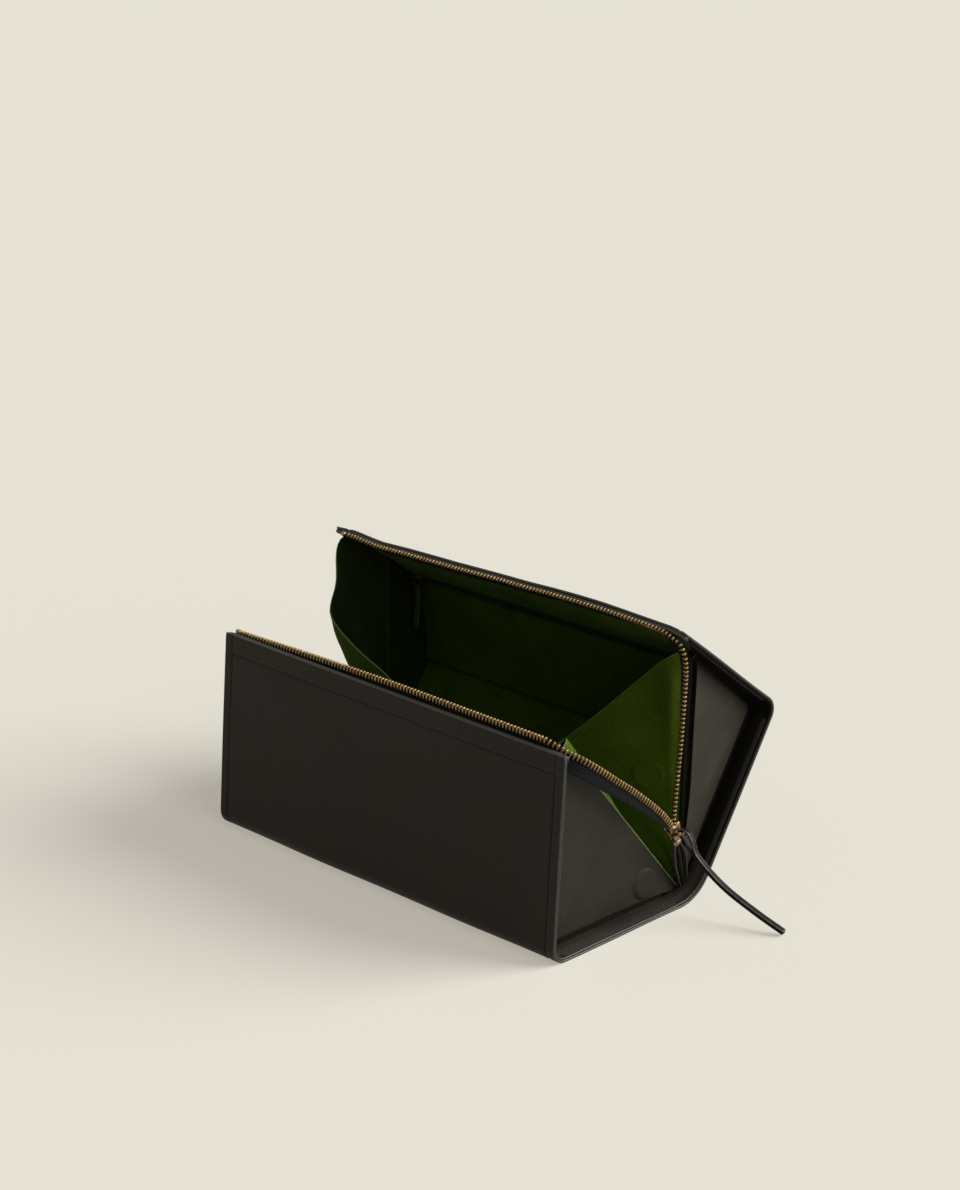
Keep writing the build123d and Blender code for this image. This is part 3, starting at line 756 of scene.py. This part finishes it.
def gusset(side_name, side):
    """One wing: front half, inward fold and rear half in one sheet, from its foot to its top edge."""
    tip = np.array(gusset_sweep[side_name][0], float)
    reach = np.linspace(6.0, 131.0, 92)
    share = (reach - reach[0]) / (reach[-1] - reach[0])
    front = place(side * gusset_x, *np.stack([ray(front_edge_angle, r) for r in reach * 1.045], 1), 0)
    rear = place(side * gusset_x, *np.stack([ray(rear_edge_angle, r) for r in reach], 1), 1)
    foot = (front[0] + rear[0]) / 2 + np.array([-side * 2.5, 0, 0])
    fold = foot + (tip - foot) * share[:, None]
    legs = np.linspace(0, 1, 44)
    sweep = smooth_path([*gusset_sweep[side_name], rear[-1]], 1.0)
    sweep_reach = reach_along(sweep)
    swept_leg = np.stack([np.interp(legs * sweep_reach[-1], sweep_reach, sweep[:, k]) for k in range(3)], 1)
    bow = swept_leg - (tip * (1 - legs[:, None]) + sweep[-1] * legs[:, None])
    columns = []
    for k in legs:
        puff = 4.2 * (k / 0.1) * math.exp(1 - k / 0.1)
        puff = puff * np.sin(math.pi * np.clip(share * 0.86 + 0.02, 0, 1)) ** 0.8
        puff = puff + 2.0 * np.sin(share * 11) * k * (1 - k) * 4
        peak = (side > 0) * math.exp(-((k - 0.19) / 0.09) ** 2) * ease((share - 0.78) / 0.22)
        columns.append(front * (1 - k) + fold * k + puff[:, None] * np.array([side, 0.25, 0.35])
                       + peak[:, None] * np.array([4.0, 0.5, 7.0]))
    for k, offset in zip(legs[1:], bow[1:]):
        columns.append(fold * (1 - k) + rear * k + offset * (share ** 1.6)[:, None])
    grid = np.stack(columns, axis=1)
    # The left wing's front half slumps outward under its top edge
    slump = np.concatenate([ease(legs), 1 - ease(legs[1:] / 0.62)]) * (side < 0)
    slump = (ease((1 - share) / 0.11) * ease((share - 0.2) / 0.5))[:, None] * slump
    grid = grid + slump[:, :, None] * slump_way
    for _ in range(smoothings):
        grid[:, 1:-1] = grid[:, 1:-1] * 0.5 + (grid[:, :-2] + grid[:, 2:]) * 0.25
    # Soft waves, then the round mark of the magnet inside the rear half
    middle = len(legs) - 1
    along = np.concatenate([legs, legs[1:]])
    normal = sheet_normals(grid)
    facing_out = np.sign(side * normal[60, middle + 20][0])
    outward = normal * facing_out
    arch = np.sin(np.pi * along)[None, :]
    is_rear = (np.arange(grid.shape[1]) > middle)[None, :]
    lift = share[:, None] * arch * np.where(is_rear, 1.8, 0.6)
    lift = lift + 0.7 * arch * np.sin(share[:, None] * 9 + along[None, :] * 4 + side)
    lift = lift + 0.25 * arch * np.sin(share[:, None] * 27 + along[None, :] * 15)
    grid = grid + outward * lift[:, :, None]
    seam = rear[60] - rear[0]
    seam /= np.linalg.norm(seam)
    from_foot = grid - rear[0]
    down = from_foot @ seam
    off = np.linalg.norm(from_foot - down[:, :, None] * seam, axis=2)
    away = np.hypot(down - gusset_magnet[0] + 6.0, off - gusset_magnet[1])
    ridge = 0.9 * np.exp(-((away - 7.3) / 0.75) ** 2) + 0.3 * ease((7.5 - away) / 1.0)
    grid = grid + outward * (ridge * is_rear)[:, :, None]
    # Outer face and cut edge in the painted-light cloth, inner face in painted shade, top hem as a painted
    # highlight
    wing = skin(side_name + "_gusset", grid, 0.8, [painted_light_gusset_cloth, painted_shade_cloth, painted_light_gusset_cloth, painted_highlight_cloth],
                inward=-1 if facing_out > 0 else 1, line="last")
    # The hem along the front panel's slanting edge is a painted highlight in pale cloth.
    hem_line = np.array([place(side * hem_x, *(ray(front_edge_angle, r) + ray(front_edge_angle - 90, 0.4)), 0)
                         for r in np.linspace(7, 130, 60)])
    hem_points, hem_faces = swept(hem_line, (side, 0, 0), 1.3, 0.8)
    hem = mesh_piece(side_name + "_front_hem", hem_points, hem_faces, [painted_highlight_cloth],
                     [(p[1], p[2]) for p in hem_points])
    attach(hem, "front_half")
    return wing


for side_name, side in (("left", -1), ("right", 1)):
    wing = gusset(side_name, side)
    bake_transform(wing)
    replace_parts(wing, side_name + "_gusset_front_half", side_name + "_gusset_rear_half",
                side_name + "_gusset_magnet")

# MAIN ZIP
# A metal zip with black herringbone tapes is sewn inside the front wall's top and under the
# lid's edge. Past the right end both tapes hang free and run down to the slider.
tape = 0.6
tooth_pitch = 2.35
row_start = -119.0
tape_wide = 8.5

# Where the chains leave the rims and hang free, down to the slider
front_chain_end = [
    (108, -41.5, 113.3), (112.6, -39.6, 111.2), (116.3, -35.6, 107.6), (118.8, -31.6, 104.8),
    (120.8, -27.0, 101.5), (122.4, -18.8, 95.2), (123.2, -8.1, 86.6), (123.6, 3.3, 77.8),
    (123.6, 15.3, 67.8), (123.2, 26.2, 58.0), (122.3, 33.6, 50.0), (121.4, 37.6, 44.6),
]
rear_chain_end = [
    (104.5, 41.9, 148.4), (109.5, 41.9, 147.9), (113.1, 41.9, 147.0), (116.5, 41.9, 145.7),
    (119.5, 42.2, 144.3), (121.2, 42.4, 142.5), (122.5, 42.6, 139.6), (123.5, 43.0, 136.5),
    (123.5, 43.7, 130.2), (123.0, 44.3, 125.9), (122.5, 44.3, 118.3), (122.2, 44.0, 109.6),
    (122.0, 42.4, 88.7), (122.0, 40.2, 72.0), (121.8, 38.8, 56.5), (121.4, 38.6, 44.8),
]


def along_path(line, stops):
    """Unit vectors along a line that turn from one stop to the next: (share of the line, vector)."""
    share = np.linspace(0, 1, len(line))
    at = [s for s, _ in stops]
    out = np.stack([np.interp(share, at, [v[k] for _, v in stops]) for k in range(3)], 1)
    return out / np.linalg.norm(out, axis=1, keepdims=True)


row_x = np.arange(row_start, 104.0, 1.0)
row_drop = 3.5 * np.clip(1 - (row_x - row_start) / 130, 0, 1) ** 1.5
front_row_u, front_row_v = front_wall(4.1 + 0.3 * row_drop, height + 3.4 - row_drop)
front_line = np.vstack([place(row_x, front_row_u, front_row_v, 0), np.array(front_chain_end)])
rear_row_u, rear_row_v = lid_front - 0.7, height - 4.1
rear_line = np.vstack([place(row_x[:-4], rear_row_u, rear_row_v, 1), np.array(rear_chain_end)])
front_line = smooth_path(front_line, tooth_pitch / 2)
rear_line = smooth_path(rear_line, tooth_pitch / 2)


def turned_from(line, x_limit):
    """The share of a line's length at which it passes an x."""
    return float(np.argmax(line[:, 0] > x_limit)) / len(line)


# Which way each tape lies from its chain, along the length
lid_back = np.array([0, math.cos(math.radians(open_angle)), -math.sin(math.radians(open_angle))])
front_side = along_path(front_line, [
    (0.0, (0, -0.08, -1)), (turned_from(front_line, 106), (0, -0.08, -1)),
    (turned_from(front_line, 117.5), (-0.25, -0.35, -1)), (turned_from(front_line, 122.0), (-0.12, -0.6, -0.8)),
    (1.0, (-0.05, -0.85, -0.45)),
])
rear_side = along_path(rear_line, [
    (0.0, tuple(lid_back)), (turned_from(rear_line, 104), tuple(lid_back)),
    (turned_from(rear_line, 116), (-0.62, 0.5, -0.5)), (turned_from(rear_line, 122.0), (-1.0, 0.25, -0.25)),
    (turned_from(rear_line, 123.3), (-0.85, 0.5, -0.1)), (0.86, (-0.72, 0.69, 0.0)), (1.0, (-0.72, 0.69, -0.1)),
])


def herringbone_finish(name, colour):
    """Twill tape in bands of slanting ribs, each band leaning the other way."""
    rib_wide = 0.0013
    band_wide = 0.0021
    material, tree, shader = finish(name, colour, 0.75, shine=0.12)
    lay = laid(tree)
    parts = add(tree, "SeparateXYZ", {0: lay})
    band = calc(tree, "PINGPONG", parts.outputs[0], band_wide)
    slant_way = calc(tree, "ADD", band, parts.outputs[1])
    rib = calc(tree, "SINE", calc(tree, "MULTIPLY", slant_way, 2 * math.pi / rib_wide))
    fuzz = noise(tree, lay, 1800.0, 2.0)
    mixed = calc(tree, "ADD", calc(tree, "MULTIPLY", rib, 0.4), fuzz)
    paint(tree, shader, mixed, [(0.3, times(colour, 0.2)), (0.75, times(colour, 2.2))])
    bump(tree, shader, [(rib, 0.0005, 1.0), (fuzz, 0.0001, 0.3)])
    return material


def brass_finish(name, colour, on_frame=False):
    """Antique brass: dark where it is recessed or tarnished, brighter where it is rubbed."""
    material, tree, shader = finish(name, colour, 0.34, metallic=1.0)
    cloud = noise(tree, laid(tree, on_frame), 420.0, 4.0)
    paint(tree, shader, cloud, [(0.3, times(colour, 0.45)), (0.62, colour), (0.8, times(colour, 1.35))])
    worn = add(tree, "MapRange", {"Value": cloud, 1: 0.3, 2: 0.7, 3: 0.46, 4: 0.26})
    tree.links.new(worn.outputs[0], shader.inputs["Roughness"])
    bump(tree, shader, [(cloud, 0.0001, 0.35)])
    return material


zip_tape = herringbone_finish("zip_tape", (0.0085, 0.0087, 0.0105))
teeth_brass = brass_finish("teeth_brass", (0.27, 0.182, 0.082))
slider_brass = brass_finish("slider_brass", (0.34, 0.215, 0.128))


def tape_strip(name, line, side_way, widths):
    """One tape: a woven strip with a thick cord along the edge that carries the teeth."""
    facing = np.cross(heading(line), side_way)
    facing /= np.linalg.norm(facing, axis=1, keepdims=True)
    wide = np.interp(np.linspace(0, 1, len(line)), *zip(*widths))
    columns = [line + side_way * (0.2 + part * (wide - 0.2))[:, None] + facing * tape / 2
               for part in (0, 0.09, 0.18, 0.3, 0.45, 0.6, 0.75, 0.88, 1.0)]
    grid = np.stack(columns, axis=1)
    return skin(name, grid, tape, [zip_tape], inward=inward_sign(grid, -facing))


def inward_sign(grid, wanted):
    """Which way skin() has to build so that its thickness goes the wanted way."""
    middle = grid.shape[0] // 2
    normal = sheet_normals(grid)[middle, grid.shape[1] // 2]
    return 1 if normal @ wanted[middle] > 0 else -1


# A tooth from tip to tail: (out along its side, half width, half thickness)
tooth_levels = [(1.75, 0.42, 0.7), (1.55, 0.55, 1.15), (0.6, 0.58, 1.3), (-0.2, 0.58, 1.3), (-0.9, 0.66, 1.2),
                (-1.45, 0.62, 1.05), (-1.8, 0.34, 0.6)]


def clamp(spot, row, side, levels):
    """A rounded metal clip over the tape's edge, built through levels as a tooth is."""
    side = side - row * (side @ row)
    side /= np.linalg.norm(side)
    thick = np.cross(row, side)
    points = [spot + side * level + row * a * half_wide + thick * b * half_thick
              for level, half_wide, half_thick in levels for a, b in blunt_ring(10, 0.6)]
    return points, tube_faces(len(levels), 10)


def metal_piece(name, shapes, metal):
    """Cast or pressed metal shapes as one piece."""
    points, faces = joined(shapes)
    return mesh_piece(name, points, faces, [metal], [(p[0] + p[1] * 0.7, p[2] + p[1] * 0.3) for p in points])


def chain_of_teeth(name, line, side_way, start=1):
    """Teeth clamped over the tape's cord, one to each pitch, as one piece."""
    run = heading(line)
    return metal_piece(name, [clamp(line[i], run[i], side_way[i], tooth_levels)
                              for i in range(start, len(line) - 1, 2)], teeth_brass)


front_widths = [(0, tape_wide), (0.72, tape_wide), (0.86, 7.2), (0.93, 5.5), (1, 2.6)]
rear_widths = [(0, tape_wide), (0.7, tape_wide), (0.85, 6.5), (1, 3.0)]
front_tape = tape_strip("front_tape", front_line, front_side, front_widths)
front_teeth = chain_of_teeth("front_teeth", front_line, front_side)
rear_tape = tape_strip("rear_tape", rear_line, rear_side, rear_widths)
rear_teeth = chain_of_teeth("rear_teeth", rear_line, rear_side, start=2)
stop_levels = [(1.6, 0.7, 0.6), (1.4, 1.25, 1.1), (0, 1.4, 1.35), (-1.6, 1.3, 1.2), (-1.9, 0.8, 0.7)]
for name, line, side_way, body in (
    ("front_top_stop_clip", front_line, front_side, "front_half"),
    ("rear_top_stop_clip", rear_line, rear_side, "back_half"),
):
    clip_shape = clamp(line[0] + np.array([-1.2, 0, 0]), np.array([1.0, 0, 0]), side_way[0], stop_levels)
    clip = metal_piece(name, [clip_shape], teeth_brass)
    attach(clip, body)
    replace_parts(clip, name[:-5])
for piece, nodes in (
    (front_tape, ("front_zip_tape", "front_free_tape")),
    (front_teeth, ("front_zip_teeth", "front_free_teeth")),
):
    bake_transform(piece)
    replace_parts(piece, *nodes)
for piece, nodes in (
    (rear_tape, ("rear_zip_tape", "rear_free_tape")),
    (rear_teeth, ("rear_zip_teeth", "rear_free_teeth")),
):
    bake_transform(piece)
    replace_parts(piece, *nodes)

# SLIDER
# Cast brass: two shield-shaped plates joined by a post, with edges curled over the tapes, and
# a staple across the front plate for the pull. A clip below it holds both tapes together.
slider_x = 119.9
slider_reach = 45.0
zip_angle = math.radians(109.2)
tail_up = np.array([0, math.cos(zip_angle), math.sin(zip_angle)])
tail_side = np.array([0, math.sin(zip_angle), -math.cos(zip_angle)])
bar_centre = np.array([126.6, 39.81, 43.63])
pull_heading = math.radians(13.3)
pull_out = np.array([math.cos(pull_heading), math.sin(pull_heading), 0])
pull_across = np.array([-math.sin(pull_heading), math.cos(pull_heading), 0])
half_shield = [(-1.2, -5.4), (-2.2, -5.0), (-2.5, -3), (-2.9, -1), (-3.7, 1.9), (-3.9, 3.6), (-3.3, 4.6),
               (-1.9, 4.7), (-0.8, 4.0)]
shield = np.array([*half_shield, (0, 3.8), *[(-a, b) for a, b in half_shield[::-1]]])


def on_tail(x, side, up):
    """A point beside the slider's middle, in the tail's own directions."""
    return np.array([slider_x + x, 55, 0]) + tail_side * side + tail_up * (slider_reach + up)


def shield_plate(x0, x1):
    """A plate of the slider with softened edges, slightly domed."""
    points = []
    levels = ((x0 + 0.1, 0.6), (x0, 0.88), (x0 + 0.3, 1.0), (x1 - 0.3, 1.0), (x1, 0.88), (x1 + 0.15, 0.6))
    for x, scale in levels:
        points += [on_tail(x, a * scale, b * scale) for a, b in shield]
    return points, tube_faces(len(levels), len(shield))


lip_run = ((2.0, -5.0), (2.2, -3), (2.6, -1), (3.3, 1.6))
slider_shapes = [shield_plate(-2.5, -1.6), shield_plate(1.6, 2.5)]
for hand in (-1, 1):
    for x in (-1.3, 1.3):
        lip = smooth_path([on_tail(x, hand * a, b) for a, b in lip_run], 0.6)
        slider_shapes.append(swept(lip, (1, 0, 0), 1.5, 0.8))
post = np.array([on_tail(x, 0, 2.6) for x in np.linspace(-2, 2, 5)])
slider_shapes.append(swept(post, tail_up, 2.4, 1.7))
slider_body = metal_piece("slider_body", slider_shapes, slider_brass)
face_x = slider_x + 2.3
left_end, right_end = bar_centre - pull_across * 2.9, bar_centre + pull_across * 2.9
staple = smooth_path([
    (face_x, left_end[1] + 0.2, left_end[2] - 1.6), (face_x + 1.9, left_end[1] - 0.1, left_end[2] - 0.7),
    left_end + pull_across * 0.3 + pull_out * -0.6, left_end + pull_across * 1.2 + pull_out * 0.1,
    bar_centre + pull_out * 0.2, right_end - pull_across * 1.2 + pull_out * 0.1,
    right_end - pull_across * 0.3 + pull_out * -0.6, (face_x + 1.9, right_end[1] + 0.1, right_end[2] - 0.7),
    (face_x, right_end[1] - 0.2, right_end[2] - 1.6),
], 0.4)
bridge_staple = metal_piece("bridge_staple", [swept(staple, (0, 0, 1), 2.1, 1.35)], slider_brass)
tail_clip = metal_piece("tail_clip", [clamp(on_tail(0, 0, -7.7), tail_up, tail_side, [
    (2.7, 0.8, 0.9), (2.3, 1.4, 1.5), (0, 1.5, 1.6), (-2.3, 1.4, 1.5), (-2.7, 0.8, 0.9)])], slider_brass)
for piece, node in (
    (slider_body, "zip_slider"),
    (bridge_staple, "slider_bridge"),
    (tail_clip, "zip_bottom_stop"),
):
    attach(piece, "zip_tail")
    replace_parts(piece, node)

# LEATHER PULL AND END TAB
# A narrow strap is folded round the slider's staple and sewn to itself. A pale painted highlight runs along its
# cut edges beside the outer face.
# The tapes' ends are held in a pleated leather tongue at the foot of the end panels.
strap_wide = 3.4
strap_leather = 1.05
strap_run = [(0.0, 0.0), (3.2, -2.6), (9.0, -12.0), (24.0, -24.5), (42.0, -34.2), (59.4, 1.6 - bar_centre[2])]
strap_line = smooth_path([(a, 0, b) for a, b in strap_run], 1.2)[:, [0, 2]]
# Painted shade: a near-black copy of the leather, so the strap's lit faces look shaded
painted_shade_strap_leather = leather_finish("painted_shade_strap_leather", (0.0028, 0.0026, 0.0025), 0.45, grain=0.6, shine=0.15)
# Painted highlight: a pale line along the strap's cut edge beside its outer face, where light catches it
painted_highlight_strap_edge = painted_edge("painted_highlight_strap_edge", (0.05, 0.047, 0.04), (0.24, 0.23, 0.2), 0.35)


def strap_layer(side):
    """The outer face of one layer of the folded strap, from the bar to the tip."""
    reach = np.arange(len(strap_line)) * 1.2
    gap = 0.12 + strap_leather + 1.5 * np.exp(-((reach - 5.5) / 5.0) ** 2)
    return strap_line + inward_of(strap_line) * (side * gap)[:, None]


strap_section = smooth_path([(a, 0, b) for a, b in np.vstack([
    strap_layer(-1)[5:][::-1],
    [(0.6, -3.6), (-1.3, -2.0), (-2.2, 0.0), (-1.4, 1.8), (0.4, 2.4), (2.4, 1.9), (4.4, 0.6)],
    strap_layer(1)[5:],
])], 0.9)[:, [0, 2]]
strap_half = strap_wide / 2 - 0.3
strap_grid = np.stack([
    bar_centre + pull_out * a + np.array([0, 0, 1]) * b + pull_across * w
    for a, b in strap_section for w in np.linspace(-strap_half, strap_half, 7)
]).reshape(len(strap_section), 7, 3)
strap = skin("pull_strap_leather", strap_grid, strap_leather,
             [painted_shade_strap_leather, flesh_side, painted_shade_strap_leather, painted_highlight_strap_edge],
             inward=inward_sign(strap_grid, np.tile(pull_out, (len(strap_section), 1))), line="face")
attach(strap, "pull")
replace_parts(strap, "pull_strap")

# The tab's width, pleat depth and place along its height over the fold
tab_top, tab_foot = 36.5, 5.0
tab_grid = []
for reach in np.linspace(tab_top, tab_foot, 34):
    half = np.interp(reach, [tab_foot, 11, 24, 31, tab_top], [1.2, 2.6, 4.0, 3.3, 1.5])
    pleat = np.interp(reach, [tab_foot, 14, 28, tab_top], [0.4, 1.3, 1.5, 0.5])
    shift = np.interp(reach, [tab_foot, tab_top], [-4.0, 0.2])
    tab_grid.append([
        np.array([slider_x + shift + pleat * math.cos(k * math.pi * 1.9), 55, 0]) + tail_up * reach
        + tail_side * k * half for k in np.linspace(-1, 1, 27)])
tab_grid = np.array(tab_grid)
end_tab = skin("end_tab_leather", tab_grid, 1.1, [black_leather, flesh_side, edge_paint],
               inward=inward_sign(tab_grid, np.tile([-1.0, 0, 0], (len(tab_grid), 1))))
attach(end_tab, "zip_tail")
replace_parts(end_tab, "zip_end_tab")

# INNER POCKET
# A thin zip runs along the middle of the lid's lining. The pocket's cloth hangs from it across
# the rear top corner, and a strip of the same cloth is the slider's pull.
pocket_u = lid_front + 49.0
pocket_half = inside - 1.0
pocket_across = np.linspace(-pocket_half, pocket_half, 70)
tape_level = height - lining_back
pocket_rows = np.linspace(pocket_u - 7, pocket_u + 7, 9)[:, None]
pocket_tape_grid = place(pocket_across[None, :], pocket_rows, tape_level - 0.1, 1)
pocket_twill = herringbone_finish("pocket_twill", (0.027, 0.048, 0.003))
pocket_tape = skin("pocket_tape", pocket_tape_grid, tape, [pocket_twill],
                   inward=inward_sign(pocket_tape_grid, np.tile([0, -0.6, -0.8], (9, 1))))
coil_pitch = 1.5
coil_wire = 0.24
coil_points = []
coil_turns = int(2 * pocket_half / coil_pitch)
coil_path = []
for k in range(coil_turns * 8):
    turn = k * 2 * math.pi / 8
    x = -pocket_half + k / 8 * coil_pitch
    coil_v = tape_level - tape - 0.75 + 0.55 * math.sin(turn)
    coil_path.append(place(x, pocket_u + 1.15 * math.cos(turn), coil_v, 1))
coil_path = np.array(coil_path)
for spot, run in zip(coil_path, heading(coil_path)):
    one = np.cross(run, (1, 0, 0.01))
    one /= np.linalg.norm(one)
    two = np.cross(run, one)
    for k in range(5):
        turn = k * 2 * math.pi / 5
        coil_points.append(spot + (one * math.cos(turn) + two * math.sin(turn)) * coil_wire)
nylon, tree, shader = finish("nylon_coil", (0.008, 0.012, 0.005), 0.45)
bump(tree, shader, [(noise(tree, laid(tree), 900.0, 2.0), 0.00008, 0.4)])
pocket_coil = mesh_piece("pocket_coil", coil_points, tube_faces(len(coil_path), 5), [nylon],
                         [(p[0], p[1]) for p in coil_points])

pocket_top = (pocket_u + 4.4, 0, tape_level - tape - 0.2)
panel_run = smooth_path([pocket_top, (-41.0, 0, 98.6), (-33.5, 0, 92.0), (-24.0, 0, 83.0), (-11.8, 0, 69.5)],
                        1.8)[:, [0, 2]]
sag = np.sin(np.linspace(0, math.pi, len(panel_run)))[:, None] * (
    0.9 * np.sin(pocket_across / 31.0 + 1.0) + 0.6 * np.sin(pocket_across / 12.0))[None, :]
panel_grid = place(pocket_across[None, :], panel_run[:, :1] - sag * 0.6, panel_run[:, 1:] - sag * 0.6, 1)
# Its cut edges carry the pale painted highlight.
pocket_cloth = skin("pocket_cloth", panel_grid, 0.5, [green_cloth, green_cloth, painted_highlight_cloth], inward=1)

strip_x, strip_y, strip_z = -103, 76.02, 111.37
strip_rows = np.linspace(1.2, 24.6, 22)
strip_grid = np.array([[(strip_x + w + 0.35 * math.sin(d / 6.0), strip_y + 0.5 * math.sin(d / 5.0), strip_z - d)
                        for w in np.linspace(-1.6, 1.6, 5)] for d in strip_rows])
pull_strip = skin("pocket_pull_strip", strip_grid, 0.9, [green_cloth],
                  inward=inward_sign(strip_grid, np.tile([0, -1.0, 0], (22, 1))))
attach(pull_strip, "pocket_pull")
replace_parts(pull_strip, "pocket_pull")
for piece, node, name in (
    (pocket_tape, "pocket_zip_tape", "zip_tape"),
    (pocket_coil, "pocket_zip_coil", "nylon_coil"),
    (pocket_cloth, "pocket_panel", "green_lining"),
):
    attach(piece, "back_half")
    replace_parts(piece, node)
dress("pocket_slider", brass_finish("pocket_brass", (0.2, 0.14, 0.08), on_frame=True))

# STUDIO
# A plain pale floor under one big soft lamp from the right and behind, a weak one from the right,
# and a little light from all round. The floor and the world are paler to the eye than as lights.
floor_half = 9.0
floor_mesh = bpy.data.meshes.new("studio_floor")
floor_mesh.from_pydata([(-floor_half, -floor_half, 0), (floor_half, -floor_half, 0),
                        (floor_half, floor_half, 0), (-floor_half, floor_half, 0)], [], [(0, 1, 2, 3)])
floor = bpy.data.objects.new("studio_floor", floor_mesh)
bpy.context.scene.collection.objects.link(floor)


def to_the_eye(tree):
    """1 for what the camera sees straight, in a reflection or through something clear."""
    path = add(tree, "LightPath")
    direct = calc(tree, "MAXIMUM", path.outputs["Is Camera Ray"], path.outputs["Is Glossy Ray"])
    return calc(tree, "MAXIMUM", direct, path.outputs["Is Transmission Ray"])


paper, tree, shader = finish("studio_paper", (0.38, 0.37, 0.335), 0.95, shine=0.1)
seen_paper = add(tree, "BsdfDiffuse", {"Color": (0.875, 0.885, 0.79, 1)})
glow = add(tree, "Emission", {"Color": (0.85, 0.785, 0.695, 1), "Strength": 1.0})
seen = add(tree, "MixShader", {0: 0.46, 1: seen_paper.outputs[0], 2: glow.outputs[0]})
surface = add(tree, "MixShader", {0: to_the_eye(tree), 1: shader.outputs[0], 2: seen.outputs[0]})
tree.links.new(surface.outputs[0], tree.nodes["Material Output"].inputs["Surface"])
floor_mesh.materials.append(paper)

# Lamps: strength, how wide each looks, how high it stands and which way it lies from +X toward +Y
for name, energy, spread, elevation, azimuth in (
    ("soft_key", 3.7, 44, 32, 47),
    ("side_fill", 0.75, 50, 30, -8),
):
    lamp = bpy.data.lights.new(name, "SUN")
    lamp.energy = energy
    lamp.angle = math.radians(spread)
    lamp.color = (1.0, 0.985, 0.95)
    holder = bpy.data.objects.new(name, lamp)
    holder.rotation_euler = (0, math.radians(90 - elevation), math.radians(azimuth))
    bpy.context.scene.collection.objects.link(holder)
world = bpy.data.worlds.new("studio")
bpy.context.scene.world = world
world.use_nodes = True
sky = world.node_tree
sky.nodes["Background"].inputs["Color"].default_value = (1.0, 0.985, 0.95, 1)
sky.nodes["Background"].inputs["Strength"].default_value = 0.09
seen_sky = add(sky, "Background", {"Color": (0.80, 0.767, 0.665, 1), "Strength": 1.0})
sky_mix = add(sky, "MixShader", {0: to_the_eye(sky), 1: sky.nodes["Background"].outputs[0],
                                 2: seen_sky.outputs[0]})
sky.links.new(sky_mix.outputs[0], sky.nodes["World Output"].inputs["Surface"])

# The camera stands where the photo was taken from
camera = bpy.data.cameras.new("camera")
camera.lens = 98.11
camera.sensor_width = 36.0
camera.clip_end = 50
viewer = bpy.data.objects.new("camera", camera)
viewer.matrix_world = Matrix((
    (0.7106, -0.23619, 0.66277, 1.11879),
    (0.70357, 0.24716, -0.66626, -1.10269),
    (-0.00645, 0.93975, 0.3418, 0.72221),
    (0, 0, 0, 1),
))
bpy.context.scene.collection.objects.link(viewer)
bpy.context.scene.camera = viewer
bpy.context.scene.view_settings.view_transform = "Standard"
